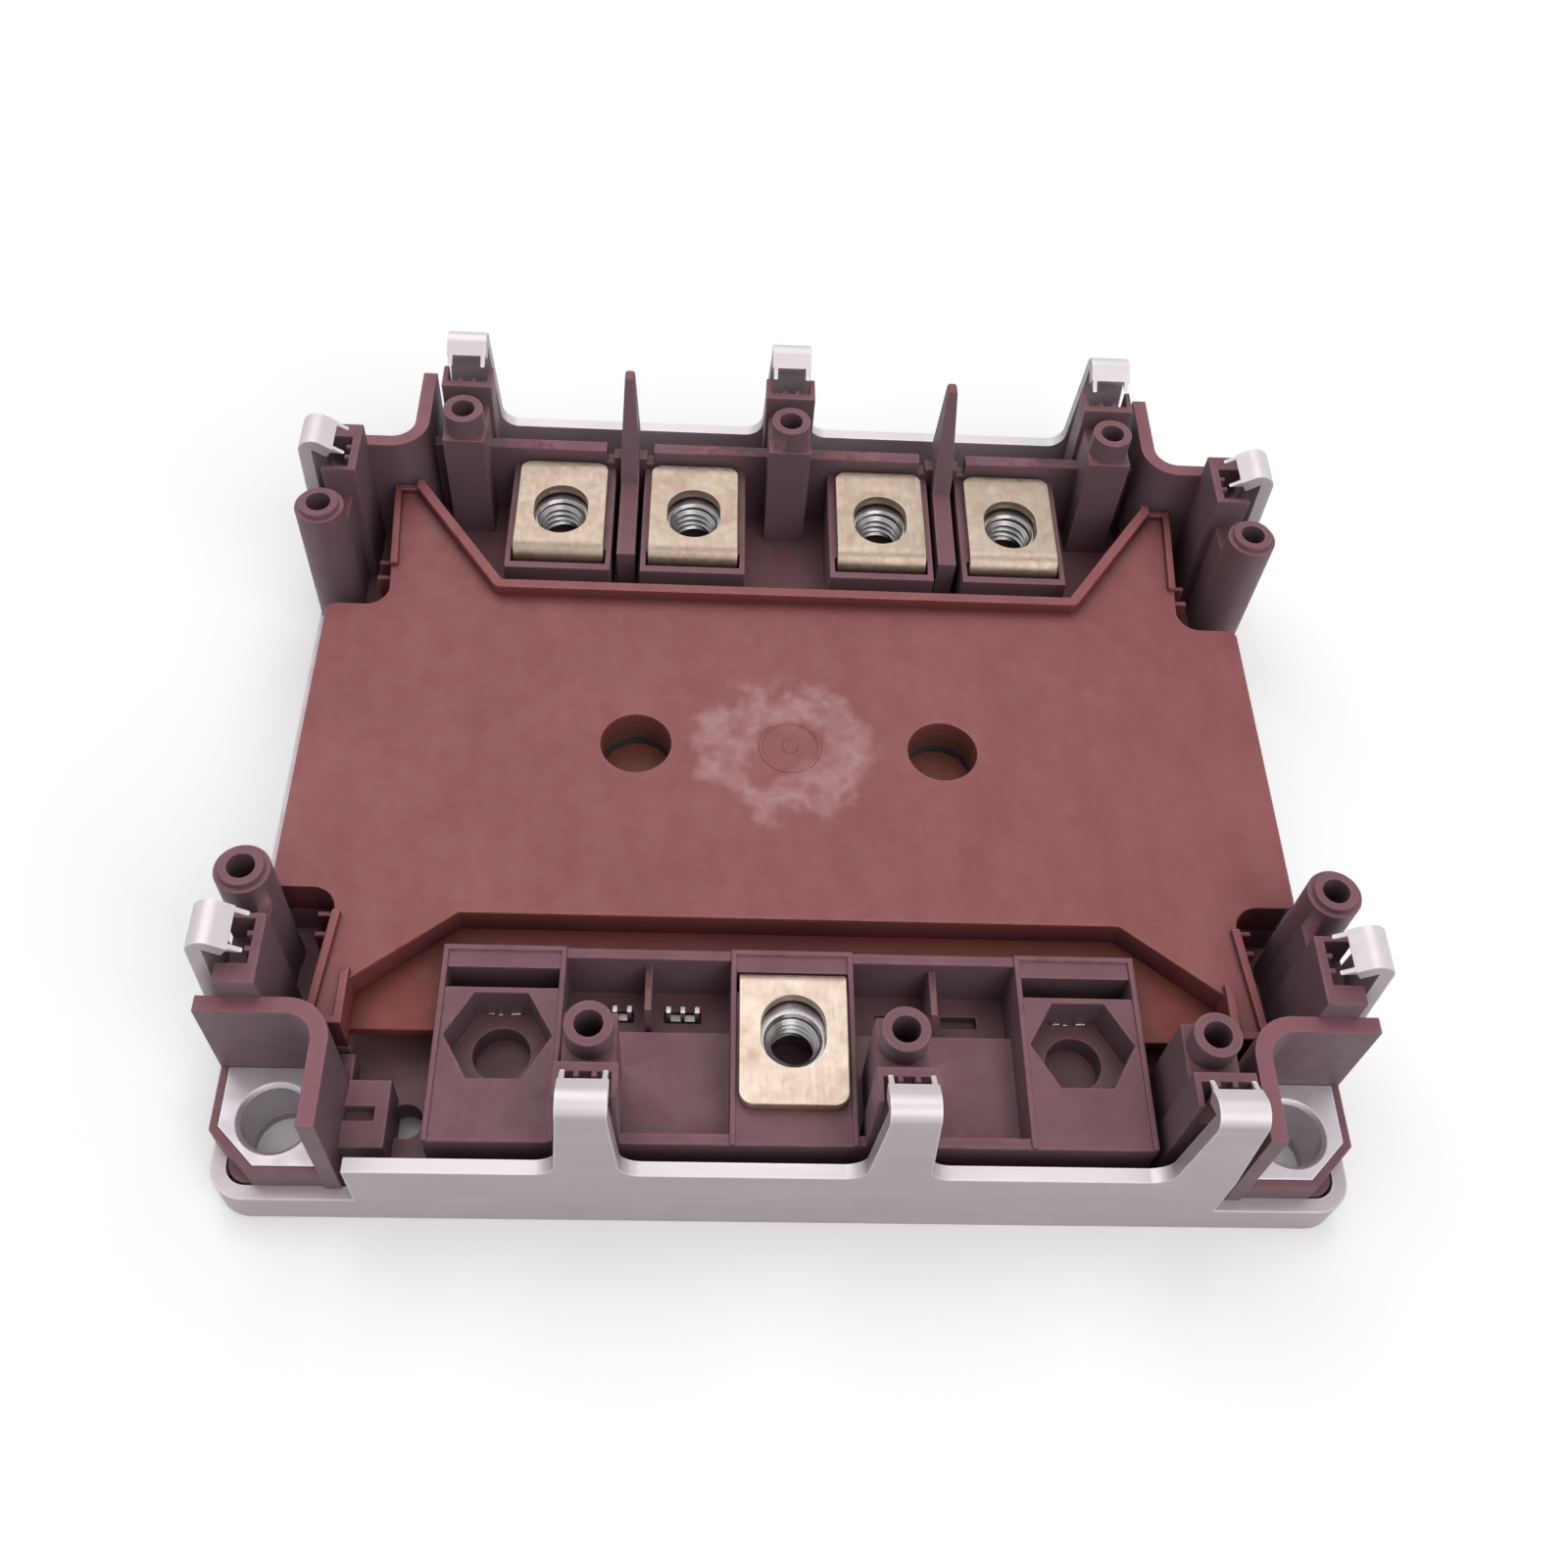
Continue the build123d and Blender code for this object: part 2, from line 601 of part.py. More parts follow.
# Housing: one moulding with the deck, core wall, corners, columns and terminal rows
with BuildPart() as housing:
    with BuildSketch(Plane.XY.offset(sheet)):
        RectangleRounded(deck_length, deck_width, tray_corner - sheet)
        with Locations((0, window_middle)):
            Rectangle(window_length, window_width, mode=Mode.SUBTRACT)
    extrude(amount=deck_top - sheet)
    with BuildSketch(Plane.XY.offset(deck_top)):
        add(cover_shape)
        add(core_inner, mode=Mode.SUBTRACT)
    extrude(amount=cover_seat - deck_top)
    # front row: a long block, the rims round its terminal faces, and two bays
    with BuildSketch(Plane.XY.offset(deck_top)):
        with Locations((0, row_middle)):
            Rectangle(2 * row_half, row_depth)
    extrude(amount=row_top - deck_top)
    with BuildSketch(Plane.XY.offset(row_top)):
        with Locations(*[(x, row_front) for x in front_block_xs]):
            Rectangle(block_width, row_depth, align=(Align.CENTER, Align.MIN))
            face_depth = row_depth - row_rim
            Rectangle(face_length, face_depth, align=(Align.CENTER, Align.MIN), mode=Mode.SUBTRACT)
    extrude(amount=row_rim_rise)
    with BuildSketch(Plane.XY.offset(row_top)):
        with Locations(*[(x, row_middle) for x in bay_xs]):
            Rectangle(bay_length, row_depth - 2 * row_wall)
    extrude(amount=bay_floor - row_top, mode=Mode.SUBTRACT)
    with BuildSketch(Plane.XY.offset(row_top)):
        with Locations(*[(x, bay_rear) for x in bay_xs]):
            Rectangle(bay_length, bay_channel, align=(Align.CENTER, Align.MAX))
    extrude(amount=deck_top - row_top, mode=Mode.SUBTRACT)
    with BuildSketch(Plane.XY.offset(deck_top)):
        with Locations(*[(x, bay_rear) for x in bay_xs]):
            Rectangle(bay_rib, bay_rib_depth, align=(Align.CENTER, Align.MAX))
    extrude(amount=bay_rib_top - deck_top)
    # rear row: four blocks, the wall behind them and a fin in each gap
    with BuildSketch(Plane.XY.offset(deck_top)):
        with Locations(*[(x, rear_block_front) for x in rear_terminal_xs]):
            Rectangle(rear_block_width, rear_block_depth, align=(Align.CENTER, Align.MIN))
    extrude(amount=rear_block_top - deck_top)
    with BuildSketch(Plane.XY.offset(deck_top)):
        with Locations((0, rear_wall_front)):
            Rectangle(2 * corner_wall_x - corner_wall, rear_wall_thickness, align=(Align.CENTER, Align.MIN))
    extrude(amount=rear_wall_top - deck_top)
    with BuildSketch(Plane.XY.offset(rear_wall_top)):
        with Locations((-fin_x, rear_wall_front), (fin_x, rear_wall_front)):
            Rectangle(fin_gap, rear_wall_thickness, align=(Align.CENTER, Align.MIN))
    extrude(amount=-fin_gap_drop, mode=Mode.SUBTRACT)
    with BuildSketch(Plane.XY.offset(rear_wall_top)):
        with Locations((-fin_x, rear_wall_front), (fin_x, rear_wall_front)):
            with GridLocations(fin_gap - wall_nick, rear_wall_thickness, 2, 1):
                Rectangle(wall_nick, rear_wall_thickness, align=(Align.CENTER, Align.MIN))
    extrude(amount=-wall_nick_drop, mode=Mode.SUBTRACT)
    with Locations((-fin_x, 0, 0), (fin_x, 0, 0)):
        add(fin.part)
    # columns at the front and rear, then the corners and side columns with their mirror images
    with Locations(*[(x, 0, 0) for x in front_dome_xs]):
        add(dome_column.part)
    with Locations(*[Location((x, 0, 0), (0, 0, 180)) for x in rear_dome_xs]):
        add(dome_column.part)
    for corner in (lug_corner.part, side_column.part):
        across = mirror(corner, about=Plane.YZ, mode=Mode.PRIVATE)
        for near in (corner, across):
            add(near)
            add(mirror(near, about=Plane.XZ, mode=Mode.PRIVATE))
    # locating block at the front left
    with BuildSketch(Plane.XY.offset(deck_top)):
        with Locations((-corner_wall_x + corner_wall, -corner_wall_y - key_block_from_wall)):
            Rectangle(key_block_length, key_block_width, align=(Align.MIN, Align.CENTER))
    extrude(amount=key_block_top - deck_top)
    with BuildSketch(Plane.XY.offset(key_block_top)):
        with Locations((-corner_wall_x + corner_wall, -corner_wall_y - key_block_from_wall)):
            Rectangle(key_notch_length, key_notch_width, align=(Align.MIN, Align.CENTER))
    extrude(amount=-key_notch_depth, mode=Mode.SUBTRACT)
    # nut pockets and screw bores
    for x, y, top in nut_places:
        with BuildSketch(Plane.XY.offset(top)):
            with Locations((x, y)):
                RegularPolygon(nut_pocket / 2, 6, major_radius=False)
        extrude(amount=-nut_pocket_depth, mode=Mode.SUBTRACT)
        with BuildSketch(Plane.XY.offset(top)):
            with Locations((x, y)):
                Circle(screw_bore / 2)
        extrude(amount=deck_top + slot_play - top, mode=Mode.SUBTRACT)
    # slots for the risers, and tunnels for the bars that run inwards from them
    with BuildSketch(Plane.XY.offset(row_top)):
        with Locations(*[(x, front_riser_y) for x in front_block_xs]):
            Rectangle(face_length, riser_slot)
    extrude(amount=deck_top - row_top, mode=Mode.SUBTRACT)
    with BuildSketch(Plane.XY.offset(rear_block_top)):
        with Locations(*[(x, rear_block_front + rear_lip) for x in rear_terminal_xs]):
            pocket_run = rear_riser_y + brass + slot_play - rear_block_front - rear_lip
            Rectangle(tunnel_width, pocket_run, align=(Align.CENTER, Align.MIN))
    extrude(amount=deck_top - rear_block_top, mode=Mode.SUBTRACT)
    with BuildSketch(Plane.XY.offset(deck_top)):
        with Locations((0, front_riser_y)):
            front_run = cover_front + core_wall - front_riser_y + slot_play
            Rectangle(tunnel_width, front_run, align=(Align.CENTER, Align.MIN))
        with Locations(*[(x, rear_riser_y) for x in rear_terminal_xs]):
            rear_run = rear_riser_y - cover_rear + core_wall + slot_play
            Rectangle(tunnel_width, rear_run, align=(Align.CENTER, Align.MAX))
    extrude(amount=tunnel_height, mode=Mode.SUBTRACT)
    # bores for the bushes, the contact slots and the D-shaped hole in the deck
    with BuildSketch(Plane.XY.offset(sheet)):
        with GridLocations(2 * mount_x, 2 * mount_y, 2, 2):
            Circle(mount_hole / 2 + bush_wall)
    extrude(amount=lug_top - sheet, mode=Mode.SUBTRACT)
    with BuildSketch(Plane.XY.offset(deck_top)):
        with Locations(*contact_places):
            Rectangle(contact_slot_length, contact_slot_width)
    extrude(amount=-contact_slot_depth, mode=Mode.SUBTRACT)
    with BuildSketch(Plane.XY.offset(sheet)):
        peep_x = -corner_wall_x + peep_from_wall
        peep_y = row_front + peep_from_front
        with Locations((peep_x, peep_y)):
            Circle(peep_width / 2)
        with Locations((peep_x + peep_width / 2, peep_y)):
            Rectangle(peep_length, peep_width, align=(Align.MAX, Align.CENTER), mode=Mode.INTERSECT)
    extrude(amount=deck_top - sheet, mode=Mode.SUBTRACT)
housing.part.label = "housing"
export_step(housing.part, "parts/housing.step")


# Metal plate and bush in each lug
with BuildPart() as lug_plate:
    with BuildSketch(Plane.XY.offset(lug_top - plate_thickness)):
        add(plate_shape)
    extrude(amount=plate_thickness + plate_proud)
    with BuildSketch(Plane.XY.offset(sheet)):
        with Locations((-mount_x, -mount_y)):
            Circle(mount_hole / 2 + bush_wall)
    extrude(amount=lug_top - sheet)
    with BuildSketch(Plane.XY.offset(sheet)):
        with Locations((-mount_x, -mount_y)):
            Circle(mount_hole / 2)
    extrude(amount=lug_top, mode=Mode.SUBTRACT)
    bore_edges = lug_plate.edges().filter_by(GeomType.CIRCLE)
    top_rim = bore_edges.filter_by(lambda e: abs(e.radius - mount_hole / 2) < same).sort_by(Axis.Z)[-1]
    chamfer(top_rim, mount_hole_chamfer)

lug_plate_right = mirror(lug_plate.part, about=Plane.YZ)
lug_plates = {
    "lug_plate_front_left": lug_plate.part,
    "lug_plate_front_right": lug_plate_right,
    "lug_plate_rear_left": mirror(lug_plate.part, about=Plane.XZ),
    "lug_plate_rear_right": mirror(lug_plate_right, about=Plane.XZ),
}
for plate_name, plate_part in lug_plates.items():
    plate_part.label = plate_name
    export_step(plate_part, "parts/" + plate_name + ".step")


# Cover: a lid with a skirt, ridges on top and a flange that closes the front gap
with BuildPart() as cover:
    with BuildSketch(Plane.XY.offset(cover_seat)):
        add(cover_shape)
    extrude(amount=cover_top - cover_seat)
    with BuildSketch(Plane.XY.offset(cover_seat)):
        add(skirt_inner)
    extrude(amount=cover_underside - cover_seat, mode=Mode.SUBTRACT)
    with BuildSketch(Plane.XY.offset(cover_seat)):
        with Locations((0, flange_front)):
            Rectangle(2 * cover_shoulder, cover_front - flange_front, align=(Align.CENTER, Align.MIN))
            row_space = row_rear + cover_gap - flange_front
            row_span = 2 * (row_half + cover_gap)
            Rectangle(row_span, row_space, align=(Align.CENTER, Align.MIN), mode=Mode.SUBTRACT)
        add(cover_shape, mode=Mode.SUBTRACT)
    extrude(amount=flange_thickness)
    # two short ribs on the skirt in each notch
    with BuildSketch(Plane.XY.offset(cover_seat)):
        with GridLocations(2 * notch_floor_x + notch_rib_reach, 2 * side_dome_y, 2, 2):
            with GridLocations(notch_rib_reach, notch_rib_pitch, 1, 2):
                Rectangle(notch_rib_reach, notch_rib)
    extrude(amount=cover_top - notch_rib_drop - cover_seat)
    # rear ridge along the back edge, and a low ridge beside each notch
    with BuildSketch(Plane.XY.offset(cover_top)):
        add(cover_shape)
        offset(cover_shape, amount=-ridge_width, mode=Mode.SUBTRACT)
        with Locations((0, cover_rear - ridge_width)):
            ridge_span = 2 * cover_shoulder + 2 * ridge_width - 2 * cover_gap
            Rectangle(ridge_span, cover_half_length, align=(Align.CENTER, Align.MIN), mode=Mode.INTERSECT)
    extrude(amount=ridge_rise)
    with BuildSketch(Plane.XY.offset(cover_top)):
        add(cover_shape)
        offset(cover_shape, amount=-side_ridge_width, mode=Mode.SUBTRACT)
        with BuildSketch(mode=Mode.INTERSECT):
            ridge_zone_x = (cover_shoulder + cover_half_length) / 2
            with GridLocations(2 * ridge_zone_x, 2 * cover_shoulder_rear, 2, 2):
                Rectangle(cover_half_length - cover_shoulder, 2 * side_ridge_run)
    extrude(amount=side_ridge_rise)
    with BuildSketch(Plane.XY.offset(cover_top)):
        with Locations((-cover_hole_pitch / 2, cover_mid_y), (cover_hole_pitch / 2, cover_mid_y)):
            Circle(cover_hole / 2)
    extrude(amount=-cover_plate, mode=Mode.SUBTRACT)
    with BuildSketch(Plane.XY.offset(cover_top)):
        with Locations((0, cover_mid_y)):
            Circle(gate_ring / 2)
            Circle(gate_ring / 2 - gate_ring_width, mode=Mode.SUBTRACT)
            Circle(gate_pip / 2)
    extrude(amount=gate_ring_rise)
cover.part.label = "cover_plate"
export_step(cover.part, "parts/cover_plate.step")


# Opening in a terminal tab: a slot along Y
def tab_slot(x, y, level):
    with BuildSketch(Plane.XY.offset(level)) as opening:
        with Locations((x, y)):
            SlotOverall(tab_slot_length, tab_slot_width, rotation=90)
    return opening.sketch


# Rear terminals: tab, rounded bend, riser, bar towards the middle and a foot on the substrate
rear_terminals = [
    ("terminal_rear_far_left", -rear_outer_x, -rear_outer_foot_x),
    ("terminal_rear_mid_left", -rear_inner_x, -rear_inner_foot_x),
    ("terminal_rear_mid_right", rear_inner_x, rear_inner_foot_x),
    ("terminal_rear_far_right", rear_outer_x, rear_outer_foot_x),
]
for terminal_name, terminal_x, foot_x in rear_terminals:
    with BuildPart() as terminal:
        with BuildSketch(Plane.YZ.offset(terminal_x - tab_width / 2)) as section:
            with BuildLine():
                Polyline(
                    (rear_riser_y + rear_tab_length, rear_block_top + brass),
                    (rear_riser_y, rear_block_top + brass),
                    (rear_riser_y, bar_top),
                    (rear_bus_end, bar_top),
                    (rear_bus_end, deck_top),
                    (rear_riser_y + brass, deck_top),
                    (rear_riser_y + brass, rear_block_top),
                    (rear_riser_y + rear_tab_length, rear_block_top),
                    close=True,
                )
            make_face()
            fillet(section.vertices().sort_by_distance((rear_riser_y, rear_block_top + brass))[0], tab_bend)
        extrude(amount=tab_width)
        tab_end = terminal.edges().filter_by(Axis.Z).group_by(Axis.Y)[-1]
        fillet(tab_end, tab_corner)
        with BuildSketch(Plane.XY.offset(deck_top)):
            with Locations((foot_x, rear_bus_end)):
                Rectangle(foot_width, brass, align=(Align.CENTER, Align.MIN))
        extrude(amount=copper_top - deck_top)
        extrude(tab_slot(terminal_x, rear_nut_y, rear_block_top), amount=brass, mode=Mode.SUBTRACT)
    terminal.part.label = terminal_name
    export_step(terminal.part, "parts/" + terminal_name + ".step")

# Front terminal: its riser comes up behind the nut, and its bar feeds a cross bar with three feet
with BuildPart() as terminal_front:
    riser_rear = front_riser_y + brass / 2
    with BuildSketch(Plane.YZ.offset(-tab_width / 2)) as section:
        with BuildLine():
            Polyline(
                (riser_rear - front_tab_length, row_top + brass),
                (riser_rear, row_top + brass),
                (riser_rear, bar_top),
                (front_bus_y, bar_top),
                (front_bus_y, deck_top),
                (riser_rear - brass, deck_top),
                (riser_rear - brass, row_top),
                (riser_rear - front_tab_length, row_top),
                close=True,
            )
        make_face()
        fillet(section.vertices().sort_by_distance((riser_rear, row_top + brass))[0], brass)
    extrude(amount=tab_width)
    tab_end = terminal_front.edges().filter_by(Axis.Z).group_by(Axis.Y)[0]
    fillet(tab_end, tab_corner)
    with BuildSketch(Plane.XY.offset(deck_top)):
        with Locations((0, front_bus_y)):
            Rectangle(2 * substrate_pitch + foot_width + 2 * brass, front_bus_width)
    extrude(amount=brass)
    with BuildSketch(Plane.XY.offset(deck_top)):
        with GridLocations(substrate_pitch, 1, 3, 1):
            with Locations((0, front_bus_y)):
                Rectangle(foot_width, brass)
    extrude(amount=copper_top - deck_top)
    extrude(tab_slot(0, front_hole_y, row_top), amount=brass, mode=Mode.SUBTRACT)
terminal_front.part.label = "terminal_front"
export_step(terminal_front.part, "parts/terminal_front.step")

# M6 nuts under the five tabs
with BuildPart() as nut:
    with BuildSketch():
        RegularPolygon(nut_across_flats / 2, 6, major_radius=False)
        Circle(nut_bore / 2, mode=Mode.SUBTRACT)
    extrude(amount=nut_height)
with BuildPart() as terminal_nuts:
    fitted = [place for place in nut_places if place[0] == 0 or place[1] > 0]
    with Locations(*[(x, y, top - nut_pocket_depth) for x, y, top in fitted]):
        add(nut.part)
terminal_nuts.part.label = "terminal_nuts"
export_step(terminal_nuts.part, "parts/terminal_nuts.step")


# Three substrates in the deck's window: copper below, ceramic, copper lands and chips above
substrate_front = window_middle - inner_width / 2 + copper_margin
middle_land_front = substrate_front + front_land + land_gap
middle_land_rear = window_middle + inner_width / 2 - copper_margin - rear_land - land_gap
land_length = substrate_length - 2 * copper_margin
igbt_length = (land_length - chip_gap) / 2 - chip_margin
for substrate_name, substrate_x in (("left", -substrate_pitch), ("center", 0), ("right", substrate_pitch)):
    with BuildPart() as copper_base:
        with BuildSketch(Plane.XY.offset(sheet)):
            with Locations((substrate_x, window_middle)):
                Rectangle(land_length, inner_width - 2 * copper_margin)
        extrude(amount=copper)
    copper_base.part.label = "copper_base_" + substrate_name
    export_step(copper_base.part, "parts/copper_base_" + substrate_name + ".step")

    with BuildPart() as ceramic_plate:
        with BuildSketch(Plane.XY.offset(ceramic_bottom)):
            with Locations((substrate_x, window_middle)):
                Rectangle(substrate_length, inner_width)
        extrude(amount=ceramic)
    ceramic_plate.part.label = "ceramic_" + substrate_name
    export_step(ceramic_plate.part, "parts/ceramic_" + substrate_name + ".step")

    with BuildPart() as copper_lands:
        with BuildSketch(Plane.XY.offset(copper_bottom)):
            with Locations((substrate_x, substrate_front)):
                Rectangle(land_length, front_land, align=(Align.CENTER, Align.MIN))
            with Locations((substrate_x, middle_land_front)):
                middle_land = middle_land_rear - middle_land_front
                Rectangle(land_length, middle_land, align=(Align.CENTER, Align.MIN))
            with Locations((substrate_x, middle_land_rear + land_gap)):
                Rectangle(land_length, rear_land, align=(Align.CENTER, Align.MIN))
                Rectangle(land_gap, rear_land, align=(Align.CENTER, Align.MIN), mode=Mode.SUBTRACT)
        extrude(amount=copper)
    copper_lands.part.label = "copper_lands_" + substrate_name
    export_step(copper_lands.part, "parts/copper_lands_" + substrate_name + ".step")

    with BuildPart() as igbt_chips:
        with BuildSketch(Plane.XY.offset(copper_top)):
            igbt_y = middle_land_front + igbt_width / 2 + copper_margin / 2
            igbt_x = (igbt_length + chip_gap) / 2
            with Locations((substrate_x - igbt_x, igbt_y), (substrate_x + igbt_x, igbt_y)):
                Rectangle(igbt_length, igbt_width)
        extrude(amount=chip)
    igbt_chips.part.label = "igbt_chips_" + substrate_name
    export_step(igbt_chips.part, "parts/igbt_chips_" + substrate_name + ".step")

    with BuildPart() as diode_chips:
        with BuildSketch(Plane.XY.offset(copper_top)):
            diode_y = middle_land_rear - diode_side / 2 - copper_margin / 2
            with Locations((substrate_x - igbt_x, diode_y), (substrate_x + igbt_x, diode_y)):
                Rectangle(diode_side, diode_side)
        extrude(amount=chip)
    diode_chips.part.label = "diode_chips_" + substrate_name
    export_step(diode_chips.part, "parts/diode_chips_" + substrate_name + ".step")


# Holes that carry on down from the cover's two holes
def sight_holes():
    with Locations((-cover_hole_pitch / 2, cover_mid_y), (cover_hole_pitch / 2, cover_mid_y)):
        Circle(cover_hole / 2, mode=Mode.SUBTRACT)


# Pressure stack above the bars: moulded bridge with posts, foam pad and steel plate
with BuildPart() as pressure_bridge:
    with BuildSketch(Plane.XY.offset(bar_top)):
        with Locations((0, window_middle)):
            Rectangle(inner_length, inner_width)
    extrude(amount=bridge_thickness)
    with BuildSketch(Plane.XY.offset(copper_top)):
        with Locations(*[(x, post_y) for x in (-substrate_pitch, 0, substrate_pitch)]):
            Rectangle(chip_gap - 2 * post_clear, chip_gap - 2 * post_clear)
    extrude(amount=bar_top - copper_top)
pressure_bridge.part.label = "pressure_bridge"
export_step(pressure_bridge.part, "parts/pressure_bridge.step")

with BuildPart() as foam_pad:
    with BuildSketch(Plane.XY.offset(bridge_top)):
        with Locations((0, window_middle)):
            Rectangle(inner_length, inner_width)
        sight_holes()
    extrude(amount=foam_thickness)
foam_pad.part.label = "foam_pad"
export_step(foam_pad.part, "parts/foam_pad.step")

with BuildPart() as pressure_plate:
    with BuildSketch(Plane.XY.offset(foam_top)):
        with Locations((0, window_middle)):
            Rectangle(inner_length, inner_width)
        sight_holes()
    extrude(amount=cover_underside - foam_top)
pressure_plate.part.label = "pressure_plate"
export_step(pressure_plate.part, "parts/pressure_plate.step")

# Temperature sensor on the front land of the middle substrate
with BuildPart() as temperature_sensor:
    with BuildSketch(Plane.XY.offset(copper_top)):
        with Locations((land_length / 2 - sensor_length, front_bus_y)):
            Rectangle(sensor_length, sensor_width)
    extrude(amount=sensor_height)
temperature_sensor.part.label = "temperature_sensor"
export_step(temperature_sensor.part, "parts/temperature_sensor.step")

# Driver contacts: combs that stand in the slots of the left bay
with BuildPart() as driver_contacts:
    slot_floor = deck_top - contact_slot_depth
    with BuildSketch(Plane.XY.offset(slot_floor)):
        with Locations(*fitted_contacts):
            Rectangle(contact_length, contact_thickness)
    extrude(amount=contact_base)
    with BuildSketch(Plane.XY.offset(slot_floor)):
        with Locations(*fitted_contacts):
            with GridLocations((contact_length - contact_finger) / 2, 1, 3, 1):
                Rectangle(contact_finger, contact_thickness)
    extrude(amount=contact_height)
driver_contacts.part.label = "driver_contacts"
export_step(driver_contacts.part, "parts/driver_contacts.step")
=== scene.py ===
"""Looks of a power semiconductor module: edges, threads, finishes, light and camera, in metres."""
import json
import math

import bmesh
import bpy
from mathutils import Euler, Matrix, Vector


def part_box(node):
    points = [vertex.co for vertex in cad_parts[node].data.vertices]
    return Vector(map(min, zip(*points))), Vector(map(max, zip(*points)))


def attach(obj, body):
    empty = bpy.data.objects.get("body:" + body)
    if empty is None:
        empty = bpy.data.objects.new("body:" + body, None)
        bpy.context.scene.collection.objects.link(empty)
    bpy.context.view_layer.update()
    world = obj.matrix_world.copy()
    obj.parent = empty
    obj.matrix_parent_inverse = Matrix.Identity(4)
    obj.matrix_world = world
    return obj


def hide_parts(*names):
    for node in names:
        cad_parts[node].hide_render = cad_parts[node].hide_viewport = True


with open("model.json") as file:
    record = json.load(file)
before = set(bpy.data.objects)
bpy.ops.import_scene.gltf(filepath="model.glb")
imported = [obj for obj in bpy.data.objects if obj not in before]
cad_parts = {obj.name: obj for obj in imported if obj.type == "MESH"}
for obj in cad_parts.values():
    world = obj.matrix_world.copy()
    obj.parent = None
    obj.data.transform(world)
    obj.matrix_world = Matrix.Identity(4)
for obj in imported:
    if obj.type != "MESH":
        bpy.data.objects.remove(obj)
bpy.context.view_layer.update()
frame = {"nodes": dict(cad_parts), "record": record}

MM = 0.001


def tone(red, green, blue):
    """Linear colour with alpha, from screen values of 0 to 255."""
    linear = []
    for value in (red / 255, green / 255, blue / 255):
        linear.append(value / 12.92 if value <= 0.04045 else ((value + 0.055) / 1.055) ** 2.4)
    return (*linear, 1.0)


# Camera as it stands in the photograph
CAMERA_PLACE = Vector((-11.335, -116.645, 175.709)) * MM
CAMERA_TURN = Euler([math.radians(a) for a in (34.293, -3.4217, -0.4886)])
CAMERA_LENS = 36.94
SENSOR = 36.0

# Edge radii on the moulded, folded and stamped pieces
HOUSING_RADIUS = 0.14 * MM
COVER_RADIUS = 0.2 * MM
SHEET_RADIUS = 0.12 * MM
STAMP_RADIUS = 0.2 * MM
ROUND_SEGMENTS = 2
SHARP_ANGLE = math.radians(24)
FLAT_ANGLE = math.radians(0.8)
SMOOTH_ANGLE = math.radians(32)
WELD = 0.002 * MM

# Nuts and their threads; the widths of the thread's root and crest are halves, in pitches
NUT_FLATS = 10.0 * MM
NUT_HEIGHT = 5.0 * MM
NUT_STEPS = 72
NUT_FACE = 4.75 * MM
NUT_MOUTH = 3.3 * MM
NUT_CONE = math.tan(math.radians(30))
THREAD_PITCH = 1.0 * MM
THREAD_OUTER = 3.0 * MM
THREAD_INNER = 2.5 * MM
THREAD_STEPS = 48
THREAD_ROOT = 0.46
THREAD_CREST = 0.1
THREAD_SUNK = 0.03 * MM
THREAD_FADE = THREAD_STEPS / 3
THREAD_LEAST = 0.02

# Metal tips at the rear wall of the empty nut pockets: place, width, height and lean of each
BLOCK_PITCH = 32.3 * MM
POCKET_CLEAR = 0.06 * MM
TIP_SHEET = 0.35 * MM
TIP_ROUND = 0.05 * MM
TIP_LOW_SIDE = 0.75
POCKET_TIPS = [
    (-1.7 * MM, 0.9 * MM, 0.55 * MM, 0.1 * MM),
    (-0.55 * MM, 0.6 * MM, 0.3 * MM, 0.0),
    (1.0 * MM, 1.1 * MM, 0.6 * MM, 0.25 * MM),
]

# Stretch of the noise: the same each way, or drawn out along x as rolled sheet is
EVEN = (1, 1, 1)
ROLLED = (0.08, 1, 1)

# Moulded plastic: reach of the edges made paler, partly as wear and partly as painted highlight; reach of
# painted shade in crevices; and share of the duller tone painted on walls as shade
PLASTIC_EDGE = 0.6 * MM
PLASTIC_SHADE_REACH = 6 * MM
WALL_SHADE_SHARE = 0.9

# Painted highlight on the rims of the corner walls: heights between which level faces are paler
RIM_FROM = (22.4 * MM, 22.45 * MM)
RIM_TO = (22.55 * MM, 22.52 * MM)
RIM_HIGHLIGHT_SHARE = 0.85
RIM_HIGHLIGHT_TONE = tone(141, 88, 97)

# Stress marks round the cover's gate
HALO_PLACE = (-0.7 * MM, -2.0 * MM)
HALO_HALF = (11.4 * MM, 10.4 * MM)
HALO_SHARE = 0.58
HALO_TONE = tone(202, 160, 160)

# Height up to which the cover is its low flange, redder in its own tone and darker with painted shade
FLANGE_TOP = 11.6 * MM
FLANGE_BLEND = 0.2 * MM
FLANGE_TONE_AND_SHADE = tone(136, 61, 51)

# Metal: reach of edges made bright, partly as wear and partly as painted highlight; heights between which
# level faces get a painted highlight; and reach of painted shade in the brass's crevices
METAL_EDGE = 0.4 * MM
TOP_HIGHLIGHT_FROM = 5 * MM
TOP_HIGHLIGHT_TO = 8 * MM
BRASS_SHADE_REACH = 2.5 * MM
# Painted shade on the rear row of brass terminals: y over which it comes in, and its tone
REAR_FROM = 0
REAR_TO = 20 * MM
REAR_SHADE_TONE = tone(224, 221, 217)

